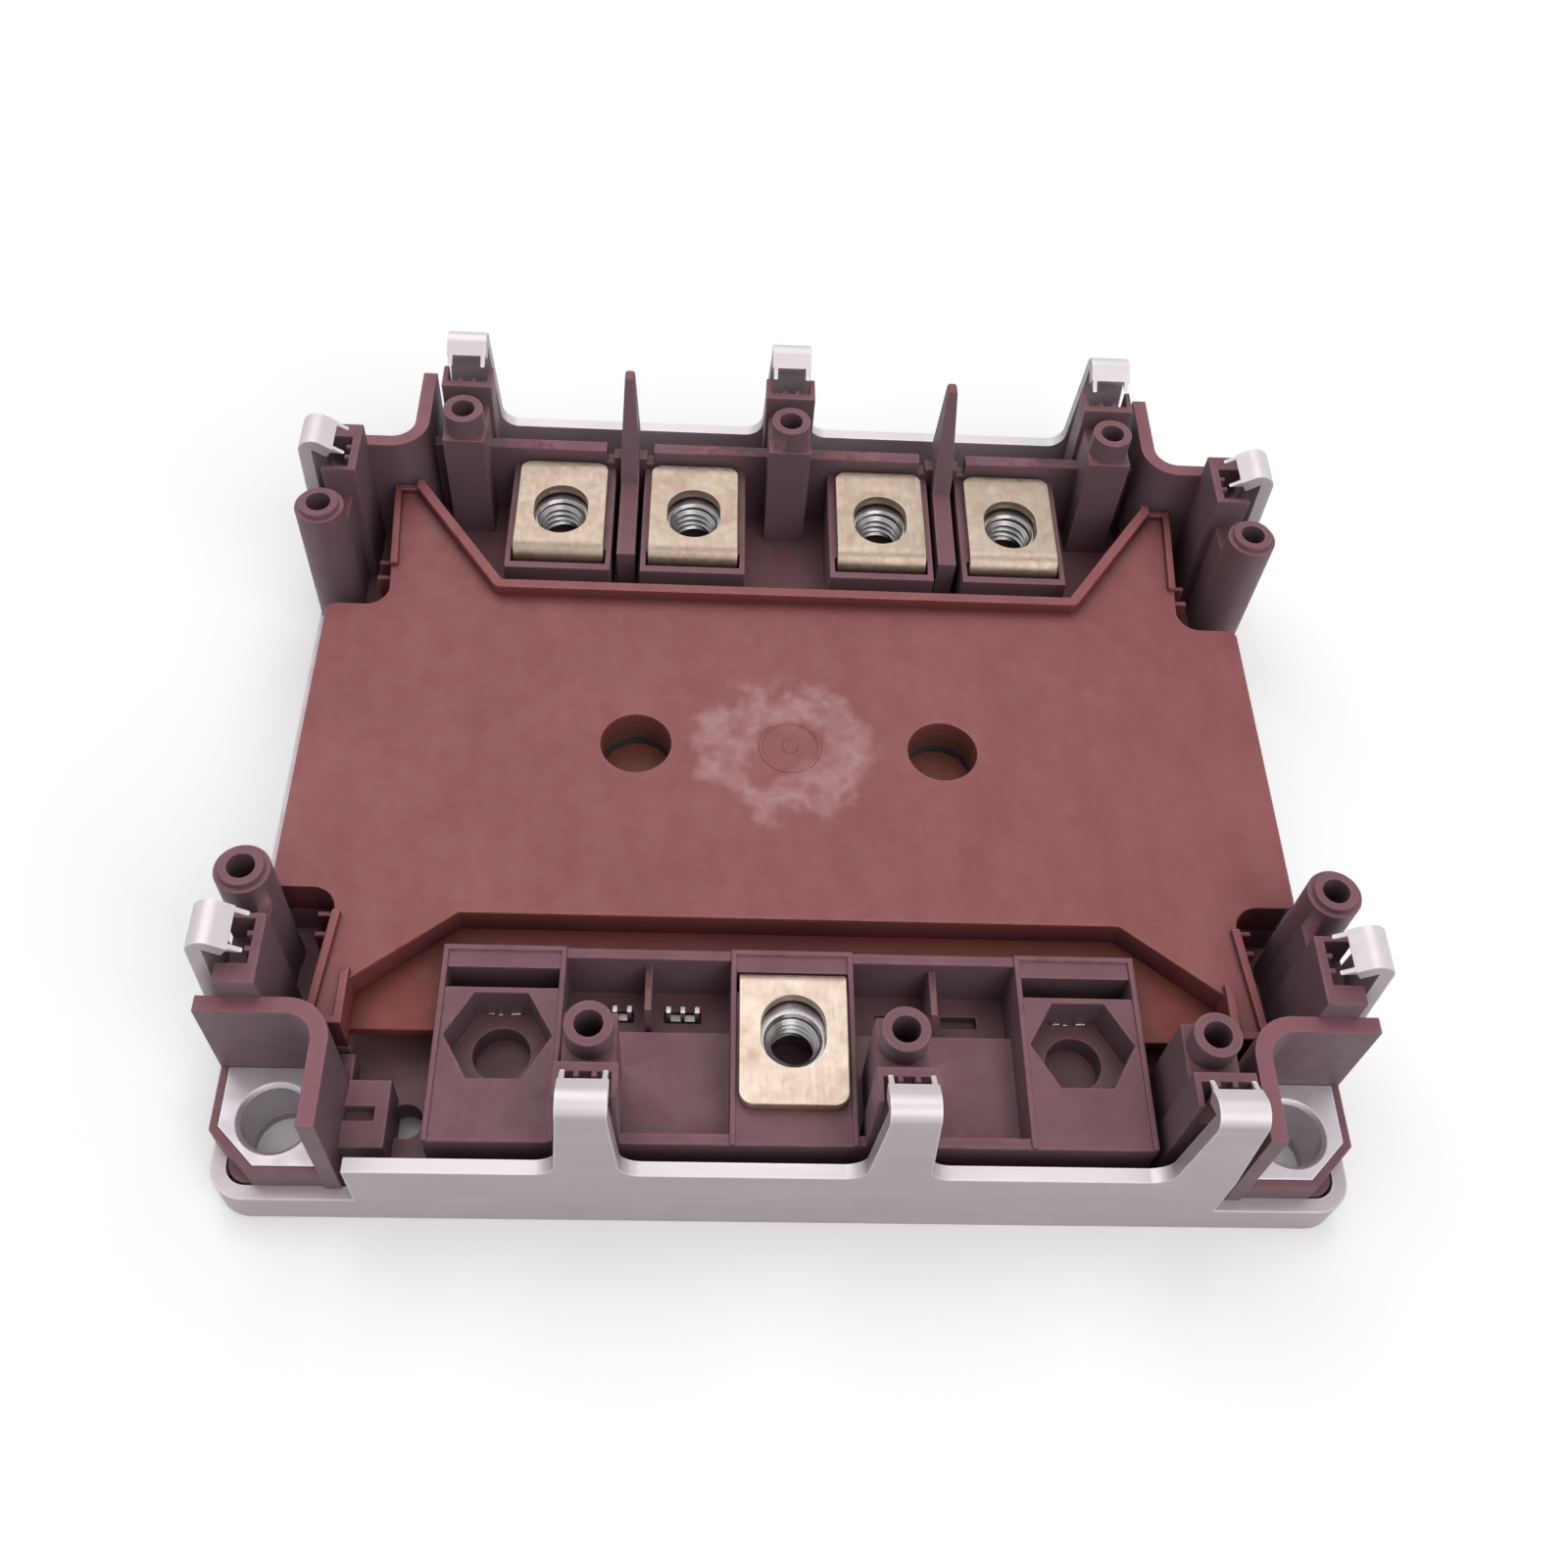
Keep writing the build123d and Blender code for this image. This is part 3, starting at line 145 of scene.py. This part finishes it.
# Studio: strength of the sky at the horizon and overhead, lamps, and floor with its fade to white
SKY_LOW = 0.22
SKY_HIGH = 0.6
SKY_FROM = -0.1
KEY_PLACE = (-0.14, 0.42, 0.84)
KEY_SIZE = 1.0
KEY_WATTS = 3.5
FILL_PLACE = (0.35, -0.55, 0.7)
FILL_SIZE = 0.8
FILL_WATTS = 2.9
WHITE = (1, 1, 1, 1)
FLOOR_HALF = 3.0
FLOOR_BOUNCE = (0.5, 0.5, 0.5, 1)
FLOOR_SEEN = (1.2, 1.2, 1.2, 1)
FADE_START = 0.3
FADE_END = 0.65


class Finish:
    """Node graph of one material, worked out in the object's own coordinates."""

    def __init__(self, name):
        self.material = bpy.data.materials.new(name)
        self.material.use_nodes = True
        self.tree = self.material.node_tree
        self.tree.nodes.clear()
        self.shader = self.add("ShaderNodeBsdfPrincipled")
        output = self.add("ShaderNodeOutputMaterial")
        self.tree.links.new(self.shader.outputs["BSDF"], output.inputs["Surface"])
        self.place = self.add("ShaderNodeTexCoord").outputs["Object"]

    def add(self, kind, **settings):
        node = self.tree.nodes.new(kind)
        for key, value in settings.items():
            setattr(node, key, value)
        return node

    def feed(self, socket, value):
        if isinstance(value, bpy.types.NodeSocket):
            self.tree.links.new(value, socket)
        else:
            socket.default_value = value

    def noise(self, size, detail, stretch=EVEN):
        """Noise from 0 to 1 whose features are about size metres across."""
        mapping = self.add("ShaderNodeMapping")
        self.feed(mapping.inputs["Vector"], self.place)
        mapping.inputs["Scale"].default_value = stretch
        node = self.add("ShaderNodeTexNoise")
        self.feed(node.inputs["Vector"], mapping.outputs["Vector"])
        node.inputs["Scale"].default_value = 1 / size
        node.inputs["Detail"].default_value = detail
        node.inputs["Roughness"].default_value = 0.55
        return node.outputs["Fac"]

    def span(self, value, low, high, bottom=0.0, top=1.0):
        """Value mapped smoothly from low..high to bottom..top."""
        node = self.add("ShaderNodeMapRange", interpolation_type="SMOOTHSTEP")
        self.feed(node.inputs["Value"], value)
        node.inputs["From Min"].default_value = low
        node.inputs["From Max"].default_value = high
        node.inputs["To Min"].default_value = bottom
        node.inputs["To Max"].default_value = top
        return node.outputs["Result"]

    def patches(self, size, detail, low, high, stretch=EVEN, bottom=0.0, top=1.0):
        """Soft patches: bottom where the noise is under low, top where it is over high."""
        return self.span(self.noise(size, detail, stretch), low, high, bottom, top)

    def maths(self, operation, *values):
        node = self.add("ShaderNodeMath", operation=operation)
        for socket, value in zip(node.inputs, values):
            self.feed(socket, value)
        return node.outputs["Value"]

    def mix(self, share, first, second, blend="MIX"):
        node = self.add("ShaderNodeMix", data_type="RGBA", blend_type=blend)
        self.feed(node.inputs["Factor"], share)
        self.feed(node.inputs["A"], first)
        self.feed(node.inputs["B"], second)
        return node.outputs["Result"]

    def towards(self, colour, other, mask, share):
        """Colour turned towards the other by the share where the mask is 1."""
        return self.mix(self.maths("MULTIPLY", mask, share), colour, other)

    def edge_wear_and_highlight(self, radius):
        """1 on outer edges and corners, 0 on flats: where colour turns paler, partly as wear and partly as
        painted highlight.
        """
        bevel = self.add("ShaderNodeBevel", samples=3)
        bevel.inputs["Radius"].default_value = radius
        geometry = self.add("ShaderNodeNewGeometry")
        dot = self.add("ShaderNodeVectorMath", operation="DOT_PRODUCT")
        self.feed(dot.inputs[0], bevel.outputs["Normal"])
        self.feed(dot.inputs[1], geometry.outputs["True Normal"])
        return self.span(dot.outputs["Value"], 0.995, 0.8)

    def painted_shade_openness(self, reach, low, high):
        """Ambient occlusion share for painted shade: 1 where a point lies open, towards 0 between walls
        that stand nearer than reach.
        """
        node = self.add("ShaderNodeAmbientOcclusion", samples=3)
        node.inputs["Distance"].default_value = reach
        return self.span(node.outputs["AO"], low, high)

    def along(self, axis, vector=None):
        """One part, "X", "Y" or "Z", of a vector, or of the point's own place."""
        split = self.add("ShaderNodeSeparateXYZ")
        self.feed(split.inputs["Vector"], vector or self.place)
        return split.outputs[axis]

    def steep(self):
        """1 on upright walls, 0 on level faces."""
        normal = self.add("ShaderNodeNewGeometry").outputs["Normal"]
        return self.span(self.maths("ABSOLUTE", self.along("Z", normal)), 0.7, 0.25)

    def level(self):
        """1 on level faces, 0 on upright walls."""
        return self.maths("SUBTRACT", 1.0, self.steep())

    def bump(self, height, depth, below=None):
        node = self.add("ShaderNodeBump")
        node.inputs["Strength"].default_value = 1.0
        node.inputs["Distance"].default_value = depth
        self.feed(node.inputs["Height"], height)
        if below is not None:
            self.feed(node.inputs["Normal"], below)
        return node.outputs["Normal"]

    def done(self, colour, roughness, normal, metallic=0.0, specular=0.5):
        self.feed(self.shader.inputs["Base Color"], colour)
        self.feed(self.shader.inputs["Roughness"], roughness)
        self.feed(self.shader.inputs["Normal"], normal)
        self.shader.inputs["Metallic"].default_value = metallic
        self.shader.inputs["Specular IOR Level"].default_value = specular
        return self.material


def rim_highlight(finish, colour):
    """Painted highlight: paler red on the level tops of the corner walls' rims."""
    above = finish.span(finish.along("Z"), *RIM_FROM)
    below = finish.span(finish.along("Z"), *RIM_TO)
    rim = finish.maths("MULTIPLY", finish.maths("MULTIPLY", above, below), finish.level())
    return finish.towards(colour, RIM_HIGHLIGHT_TONE, rim, RIM_HIGHLIGHT_SHARE)


def stress_halo(finish, colour):
    """Whitish bloom round the gate mark, ragged at its edge."""
    offset = finish.add("ShaderNodeVectorMath", operation="SUBTRACT")
    finish.feed(offset.inputs[0], finish.place)
    offset.inputs[1].default_value = (*HALO_PLACE, 0)
    scaled = finish.add("ShaderNodeVectorMath", operation="MULTIPLY")
    finish.feed(scaled.inputs[0], offset.outputs["Vector"])
    scaled.inputs[1].default_value = (1 / HALO_HALF[0], 1 / HALO_HALF[1], 0)
    length = finish.add("ShaderNodeVectorMath", operation="LENGTH")
    finish.feed(length.inputs[0], scaled.outputs["Vector"])
    fray = finish.patches(4.5 * MM, 2.5, 0.3, 0.7, bottom=-0.2, top=0.2)
    ragged = finish.maths("ADD", length.outputs["Value"], fray)
    inside = finish.span(ragged, 1.06, 0.68)
    ring = finish.span(ragged, 0.34, 0.72, 0.05, 1.0)
    clouds = finish.patches(3.4 * MM, 3, 0.32, 0.66, bottom=0.5)
    bloom = finish.maths("MULTIPLY", finish.maths("MULTIPLY", inside, ring), clouds)
    return finish.towards(colour, HALO_TONE, bloom, HALO_SHARE)


def flange_tone_and_shade(finish, colour):
    """Redder, darker tone on the cover's low flange: partly its own tone, partly painted shade."""
    low = finish.span(finish.along("Z"), FLANGE_TOP + FLANGE_BLEND, FLANGE_TOP)
    return finish.mix(low, colour, FLANGE_TONE_AND_SHADE)


def moulded_plastic(name, base, pale, dark, wall, crevice_shade, shade_range, under_edges=(), over_edges=()):
    """Red-brown moulded plastic: mottled, with a duller painted shade on walls, edges paler partly as wear
    and partly as painted highlight, and painted shade in crevices.
    """
    finish = Finish(name)
    colour = finish.towards(base, dark, finish.patches(14 * MM, 3, 0.32, 0.68), 0.45)
    colour = finish.towards(colour, pale, finish.patches(5 * MM, 5, 0.35, 0.7, (1, 0.35, 1)), 0.16)
    colour = finish.towards(colour, pale, finish.patches(0.7 * MM, 4, 0.45, 0.8), 0.1)
    # Painted shade: a duller tone on upright walls, standing in for how light falls on them
    colour = finish.towards(colour, wall, finish.steep(), WALL_SHADE_SHARE)
    for mark in under_edges:
        colour = mark(finish, colour)
    # Edges paler: partly wear, partly painted highlight
    edge_patches = finish.patches(1.6 * MM, 4, 0.3, 0.6)
    edge = finish.maths("MULTIPLY", finish.edge_wear_and_highlight(PLASTIC_EDGE), edge_patches)
    colour = finish.towards(colour, pale, edge, 0.7)
    for mark in over_edges:
        colour = mark(finish, colour)
    # Painted shade: darker tone in crevices, from ambient occlusion
    colour = finish.mix(finish.painted_shade_openness(PLASTIC_SHADE_REACH, *shade_range), crevice_shade, colour)
    roughness = finish.patches(3 * MM, 4, 0.3, 0.7, bottom=0.46, top=0.6)
    waves = finish.bump(finish.noise(9 * MM, 2), 0.12 * MM)
    grain = finish.bump(finish.noise(0.22 * MM, 3), 0.012 * MM, waves)
    return finish.done(colour, roughness, grain, specular=0.4)


def plated_sheet(name, base, dark, bright, metallic, gloss, rolled=EVEN, top_highlight=0.0):
    """Plated steel: streaks, faint blotches, edges bright partly as wear and partly as painted highlight,
    and a painted highlight on level faces between two heights.
    """
    finish = Finish(name)
    colour = finish.towards(base, dark, finish.patches(0.5 * MM, 5, 0.3, 0.7, rolled), 0.22)
    colour = finish.towards(colour, dark, finish.patches(7 * MM, 4, 0.3, 0.7), 0.25)
    if top_highlight:
        # Painted highlight on level faces between two heights
        raised = finish.span(finish.along("Z"), TOP_HIGHLIGHT_FROM, TOP_HIGHLIGHT_TO, 0.0, top_highlight)
        colour = finish.mix(finish.maths("MULTIPLY", raised, finish.level()), colour, bright)
    # Edges brighter: partly wear, partly painted highlight
    colour = finish.towards(colour, bright, finish.edge_wear_and_highlight(METAL_EDGE), 0.9)
    rough = finish.patches(2.2 * MM, 5, 0.3, 0.7, rolled, *gloss)
    waves = finish.bump(finish.noise(6 * MM, 2), 0.05 * MM)
    grain = finish.bump(finish.noise(0.3 * MM, 3, rolled), 0.006 * MM, waves)
    return finish.done(colour, rough, grain, metallic)


def stamped_brass(name, base, tarnish, bright, crevice_shade):
    """Pale brass with drawn streaks, brown tarnish, edges bright partly as wear and partly as painted
    highlight, and painted shade in crevices and on the rear row.
    """
    finish = Finish(name)
    colour = finish.towards(base, tarnish, finish.patches(5 * MM, 3, 0.35, 0.7), 0.35)
    colour = finish.towards(colour, bright, finish.patches(0.45 * MM, 5, 0.3, 0.72, (1, 0.12, 1)), 0.3)
    colour = finish.towards(colour, tarnish, finish.patches(2.8 * MM, 5, 0.5, 0.78), 0.42)
    # Edges brighter: partly wear, partly painted highlight
    colour = finish.towards(colour, bright, finish.edge_wear_and_highlight(METAL_EDGE), 0.6)
    # Painted shade in the brass's crevices, from ambient occlusion
    colour = finish.mix(finish.painted_shade_openness(BRASS_SHADE_REACH, 0.15, 0.8), crevice_shade, colour)
    # Painted shade: the rear row of terminals is darkened
    rear = finish.span(finish.along("Y"), REAR_FROM, REAR_TO)
    colour = finish.mix(rear, colour, REAR_SHADE_TONE, "MULTIPLY")
    rough = finish.patches(1.2 * MM, 5, 0.3, 0.7, bottom=0.26, top=0.42)
    waves = finish.bump(finish.noise(4 * MM, 2), 0.06 * MM)
    grain = finish.bump(finish.noise(0.25 * MM, 4, (1, 0.15, 1)), 0.006 * MM, waves)
    return finish.done(colour, rough, grain, 0.65)


def plain_matter(name, base, dark, size, depth, roughness, metallic=0.0):
    """Hidden matter, such as foam, ceramic or silicon: two tones of noise and a fitting bump."""
    finish = Finish(name)
    colour = finish.mix(finish.patches(size * 6, 3, 0.3, 0.7), base, dark)
    rough = finish.patches(size * 3, 3, 0.3, 0.7, bottom=roughness - 0.05, top=roughness + 0.05)
    return finish.done(colour, rough, finish.bump(finish.noise(size, 4), depth), metallic)


finishes = {
    "tray_steel": plated_sheet(
        "tray_steel", base=tone(196, 186, 190), dark=tone(174, 164, 169), bright=tone(252, 246, 246),
        metallic=0.3, gloss=(0.35, 0.51), rolled=ROLLED, top_highlight=0.48),
    # Wall tones, crevice tones and shade ranges of the plastics are painted shade
    "housing_plastic": moulded_plastic(
        "housing_plastic", base=tone(118, 80, 85), pale=tone(166, 112, 121), dark=tone(104, 70, 75),
        wall=tone(122, 101, 108), crevice_shade=tone(92, 72, 76), shade_range=(0.05, 0.62),
        under_edges=[rim_highlight]),
    "cover_plastic": moulded_plastic(
        "cover_plastic", base=tone(143, 78, 81), pale=tone(178, 120, 119), dark=tone(132, 69, 71),
        wall=tone(138, 74, 74), crevice_shade=tone(55, 24, 24), shade_range=(0.15, 0.92),
        over_edges=[stress_halo, flange_tone_and_shade]),
    "terminal_brass": stamped_brass(
        "terminal_brass", base=tone(196, 178, 162), tarnish=tone(154, 121, 98),
        bright=tone(222, 208, 194), crevice_shade=tone(120, 88, 70)),
    "nut_steel": plated_sheet(
        "nut_steel", base=tone(161, 159, 159), dark=tone(120, 117, 117), bright=tone(214, 213, 211),
        metallic=0.9, gloss=(0.21, 0.37)),
    "lug_steel": plated_sheet(
        "lug_steel", base=tone(206, 199, 204), dark=tone(185, 178, 184), bright=tone(246, 244, 246),
        metallic=0.55, gloss=(0.33, 0.49)),
    # Red-brown tones: painted reflection of the red cover walls, seen on the plate through the cover hole
    "plate_steel": plated_sheet(
        "plate_steel", base=tone(128, 84, 76), dark=tone(104, 74, 62), bright=tone(150, 116, 104),
        metallic=0.4, gloss=(0.43, 0.59), rolled=ROLLED),
}

# Hidden matter: two tones, size and depth of the grain, roughness and metallic share
hidden_matter = {
    "bridge_plastic": (tone(134, 67, 56), tone(108, 66, 50), 0.5 * MM, 0.01 * MM, 0.55, 0.0),
    "foam": (tone(70, 68, 70), tone(52, 50, 52), 0.5 * MM, 0.08 * MM, 0.85, 0.0),
    "copper_sheet": (tone(214, 140, 108), tone(190, 112, 84), 0.3 * MM, 0.006 * MM, 0.35, 0.9),
    "substrate_ceramic": (tone(240, 237, 228), tone(226, 222, 212), 0.4 * MM, 0.006 * MM, 0.6, 0.0),
    "chip_silicon": (tone(150, 152, 160), tone(120, 122, 130), 0.3 * MM, 0.004 * MM, 0.3, 0.7),
    "sensor_body": (tone(60, 54, 50), tone(44, 40, 38), 0.2 * MM, 0.01 * MM, 0.4, 0.0),
    "contact_metal": (tone(222, 218, 208), tone(190, 186, 178), 0.2 * MM, 0.004 * MM, 0.25, 0.9),
}
for slot_name, values in hidden_matter.items():
    finishes[slot_name] = plain_matter(slot_name, *values)
slot_of = {entry["node"]: entry["material_slot"] for entry in frame["record"]["subparts"]}


def dress(piece, slot_name):
    """Gives the piece the finish of a material slot of the record."""
    piece.data.materials.clear()
    piece.data.materials.append(finishes[slot_name])


def settle(piece, slot_name, *nodes):
    """Dresses a finished piece, lets it ride on the module and hides the nodes that it stands for."""
    dress(piece, slot_name)
    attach(piece, "root")
    if nodes:
        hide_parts(*nodes)


def smooth(piece):
    """Smooth shading that large flat faces keep for themselves."""
    piece.data.shade_smooth()
    piece.data.set_sharp_from_angle(angle=SMOOTH_ANGLE)
    weighted = piece.modifiers.new("weighted_normals", "WEIGHTED_NORMAL")
    weighted.mode = "FACE_AREA"
    weighted.weight = 100
    weighted.keep_sharp = True


def link_mesh(name, work):
    """A new piece from the worked mesh, linked to the scene."""
    mesh = bpy.data.meshes.new(name)
    work.to_mesh(mesh)
    work.free()
    piece = bpy.data.objects.new(name, mesh)
    bpy.context.scene.collection.objects.link(piece)
    return piece


def round_edges(work, edges, radius, **settings):
    bmesh.ops.bevel(work, geom=edges, offset=radius, segments=ROUND_SEGMENTS, profile=0.5,
                    affect="EDGES", **settings)


def rounded_copy(node, radius):
    """The node's own form with its outer edges rounded."""
    work = bmesh.new()
    work.from_mesh(frame["nodes"][node].data)
    bmesh.ops.remove_doubles(work, verts=work.verts, dist=WELD)
    bmesh.ops.dissolve_limit(work, angle_limit=FLAT_ANGLE, verts=work.verts, edges=work.edges)
    sharp = [edge for edge in work.edges if edge.is_convex and edge.calc_face_angle(0) > SHARP_ANGLE]
    round_edges(work, sharp, radius, clamp_overlap=False)
    piece = link_mesh(node + "_rounded", work)
    smooth(piece)
    settle(piece, slot_of[node], node)


rounded = {"housing": HOUSING_RADIUS, "cover_plate": COVER_RADIUS, "base_tray": SHEET_RADIUS}
for node in frame["nodes"]:
    if node.startswith("terminal_") and node != "terminal_nuts":
        rounded[node] = STAMP_RADIUS
    if node.startswith("lug_plate"):
        rounded[node] = SHEET_RADIUS
for node, radius in rounded.items():
    rounded_copy(node, radius)
for node, cad_piece in frame["nodes"].items():
    if node not in rounded and node != "terminal_nuts":
        dress(cad_piece, slot_of[node])


def ring_of(work, radius_at, height_at):
    """Ring of points round the z axis, with radius and height given at each angle."""
    ring = []
    for i in range(NUT_STEPS):
        angle = 2 * math.pi * i / NUT_STEPS
        radius = radius_at(angle)
        ring.append(work.verts.new((radius * math.cos(angle), radius * math.sin(angle), height_at(angle))))
    return ring


def skin(work, rings, closed):
    """Quads between neighbouring rings; the last joins the first where closed."""
    following = rings[1:] + rings[:1] if closed else rings[1:]
    for first, second in zip(rings, following):
        count = len(first)
        for i in range(count):
            j = (i + 1) % count
            work.faces.new((first[i], first[j], second[j], second[i]))


def hexagon(angle):
    """Radius of the nut's flats at an angle."""
    sixth = math.pi / 3
    return NUT_FLATS / 2 / math.cos((angle % sixth) - sixth / 2)


def corner_drop(angle):
    """How far the turned cone takes the nut's corner down at an angle."""
    return (hexagon(angle) - NUT_FACE) * NUT_CONE


def nut_body(work, centre, low, high):
    """Hex nut with turned corners and a plain bore at the thread's outer radius."""
    mouth = NUT_MOUTH - THREAD_OUTER
    rings = [
        ring_of(work, lambda a: THREAD_OUTER, lambda a: low + mouth),
        ring_of(work, lambda a: NUT_MOUTH, lambda a: low),
        ring_of(work, lambda a: NUT_FACE, lambda a: low),
        ring_of(work, hexagon, lambda a: low + corner_drop(a)),
        ring_of(work, hexagon, lambda a: high - corner_drop(a)),
        ring_of(work, lambda a: NUT_FACE, lambda a: high),
        ring_of(work, lambda a: NUT_MOUTH, lambda a: high),
        ring_of(work, lambda a: THREAD_OUTER, lambda a: high - mouth),
    ]
    skin(work, rings, True)
    bmesh.ops.translate(work, verts=[v for ring in rings for v in ring], vec=(*centre, 0))


def thread_ridge(work, centre, low, high):
    """Helical ridge that stands inwards from the nut's bore and fades at both ends."""
    turns = (high - low) / THREAD_PITCH - 1
    count = int(turns * THREAD_STEPS)
    root = THREAD_OUTER + THREAD_SUNK
    sections = []
    for i in range(count + 1):
        angle = 2 * math.pi * i / THREAD_STEPS
        height = low + THREAD_PITCH * (0.5 + i / THREAD_STEPS)
        fade = min(1.0, i / THREAD_FADE, (count - i) / THREAD_FADE)
        crest = THREAD_OUTER - (THREAD_OUTER - THREAD_INNER) * max(fade, THREAD_LEAST)
        profile = [(root, -THREAD_ROOT), (crest, -THREAD_CREST), (crest, THREAD_CREST), (root, THREAD_ROOT)]
        section = []
        for radius, rise in profile:
            x = centre[0] + radius * math.cos(angle)
            y = centre[1] + radius * math.sin(angle)
            section.append(work.verts.new((x, y, height + rise * THREAD_PITCH)))
        sections.append(section)
    skin(work, sections, False)
    work.faces.new(sections[0][::-1])
    work.faces.new(sections[-1])


def threaded_nuts():
    """The five nuts under the tabs, with their threads."""
    low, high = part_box("terminal_nuts")
    work = bmesh.new()
    rear_low = high.z - NUT_HEIGHT
    places = [((0.0, low.y + NUT_FLATS / 2), low.z)]
    for terminal in ("far_left", "mid_left", "mid_right", "far_right"):
        tab_low, tab_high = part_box("terminal_rear_" + terminal)
        places.append((((tab_low.x + tab_high.x) / 2, high.y - NUT_FLATS / 2), rear_low))
    for centre, bottom in places:
        nut_body(work, centre, bottom, bottom + NUT_HEIGHT)
        thread_ridge(work, centre, bottom, bottom + NUT_HEIGHT)
    bmesh.ops.recalc_face_normals(work, faces=work.faces)
    piece = link_mesh("nuts_with_threads", work)
    smooth(piece)
    settle(piece, "nut_steel", "terminal_nuts")


def pocket_tips():
    """Sheared metal tips that show at the foot of the rear wall in the two empty nut pockets."""
    low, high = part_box("terminal_nuts")
    wall = low.y + NUT_FLATS + POCKET_CLEAR
    work = bmesh.new()
    for x in (-BLOCK_PITCH, BLOCK_PITCH):
        for shift, width, height, lean in POCKET_TIPS:
            corners = []
            for side, share in ((-1, TIP_LOW_SIDE), (1, 1.0)):
                edge = x + shift + side * width / 2
                for depth in (0.0, TIP_SHEET):
                    corners.append(work.verts.new((edge, wall - depth, low.z)))
                    corners.append(work.verts.new((edge + lean, wall - depth, low.z + height * share)))
            bmesh.ops.convex_hull(work, input=corners)
    round_edges(work, list(work.edges), TIP_ROUND)
    piece = link_mesh("pocket_tips", work)
    smooth(piece)
    settle(piece, "contact_metal")


threaded_nuts()
pocket_tips()


def add_camera():
    camera = bpy.data.cameras.new("camera")
    camera.lens = CAMERA_LENS
    camera.sensor_width = SENSOR
    camera.clip_start = 0.01
    holder = bpy.data.objects.new("camera", camera)
    holder.location = CAMERA_PLACE
    holder.rotation_euler = CAMERA_TURN
    bpy.context.scene.collection.objects.link(holder)
    bpy.context.scene.camera = holder


def add_lamp(name, place, size, watts):
    """Round area lamp that points at the middle of the module."""
    lamp = bpy.data.lights.new(name, "AREA")
    lamp.shape = "DISK"
    lamp.size = size
    lamp.energy = watts
    holder = bpy.data.objects.new(name, lamp)
    holder.location = place
    holder.rotation_euler = (-Vector(place)).to_track_quat("-Z", "Y").to_euler()
    bpy.context.scene.collection.objects.link(holder)


def seen_directly(nodes, links):
    """1 for rays that show the background itself: camera, glossy and transmission rays."""
    path = nodes.new("ShaderNodeLightPath")
    total = path.outputs["Is Camera Ray"]
    for other in ("Is Glossy Ray", "Is Transmission Ray"):
        add = nodes.new("ShaderNodeMath")
        add.operation = "MAXIMUM"
        links.new(total, add.inputs[0])
        links.new(path.outputs[other], add.inputs[1])
        total = add.outputs["Value"]
    return total


def add_world():
    """Soft sky: strong from above, weak at the horizon, and white where it is seen."""
    world = bpy.data.worlds.new("studio")
    bpy.context.scene.world = world
    world.use_nodes = True
    nodes, links = world.node_tree.nodes, world.node_tree.links
    nodes.clear()
    output = nodes.new("ShaderNodeOutputWorld")
    sky = nodes.new("ShaderNodeBackground")
    white = nodes.new("ShaderNodeBackground")
    white.inputs["Strength"].default_value = 1.0
    white.inputs["Color"].default_value = WHITE
    place = nodes.new("ShaderNodeTexCoord")
    split = nodes.new("ShaderNodeSeparateXYZ")
    links.new(place.outputs["Generated"], split.inputs["Vector"])
    height = nodes.new("ShaderNodeMapRange")
    links.new(split.outputs["Z"], height.inputs["Value"])
    height.inputs["From Min"].default_value = SKY_FROM
    height.inputs["From Max"].default_value = 1.0
    height.inputs["To Min"].default_value = SKY_LOW
    height.inputs["To Max"].default_value = SKY_HIGH
    links.new(height.outputs["Result"], sky.inputs["Strength"])
    mix = nodes.new("ShaderNodeMixShader")
    links.new(seen_directly(nodes, links), mix.inputs["Fac"])
    links.new(sky.outputs["Background"], mix.inputs[1])
    links.new(white.outputs["Background"], mix.inputs[2])
    links.new(mix.outputs["Shader"], output.inputs["Surface"])


def add_floor():
    """Pale floor that keeps the module's shadow, and fades to white farther out where it is seen."""
    work = bmesh.new()
    bmesh.ops.create_grid(work, x_segments=1, y_segments=1, size=FLOOR_HALF)
    floor = link_mesh("floor", work)
    material = bpy.data.materials.new("floor")
    material.use_nodes = True
    nodes, links = material.node_tree.nodes, material.node_tree.links
    nodes.clear()
    output = nodes.new("ShaderNodeOutputMaterial")
    paper = nodes.new("ShaderNodeBsdfDiffuse")
    colour = nodes.new("ShaderNodeMix")
    colour.data_type = "RGBA"
    seen = seen_directly(nodes, links)
    links.new(seen, colour.inputs["Factor"])
    colour.inputs["A"].default_value = FLOOR_BOUNCE
    colour.inputs["B"].default_value = FLOOR_SEEN
    links.new(colour.outputs["Result"], paper.inputs["Color"])
    place = nodes.new("ShaderNodeTexCoord")
    reach = nodes.new("ShaderNodeVectorMath")
    reach.operation = "LENGTH"
    links.new(place.outputs["Object"], reach.inputs[0])
    far = nodes.new("ShaderNodeMapRange")
    far.interpolation_type = "SMOOTHSTEP"
    links.new(reach.outputs["Value"], far.inputs["Value"])
    far.inputs["From Min"].default_value = FADE_START
    far.inputs["From Max"].default_value = FADE_END
    links.new(seen, far.inputs["To Max"])
    white = nodes.new("ShaderNodeEmission")
    fade = nodes.new("ShaderNodeMixShader")
    links.new(far.outputs["Result"], fade.inputs["Fac"])
    links.new(paper.outputs["BSDF"], fade.inputs[1])
    links.new(white.outputs["Emission"], fade.inputs[2])
    links.new(fade.outputs["Shader"], output.inputs["Surface"])
    floor.data.materials.append(material)


bpy.context.scene.view_settings.view_transform = "Standard"
add_camera()
add_world()
add_lamp("key", KEY_PLACE, KEY_SIZE, KEY_WATTS)
add_lamp("fill", FILL_PLACE, FILL_SIZE, FILL_WATTS)
add_floor()
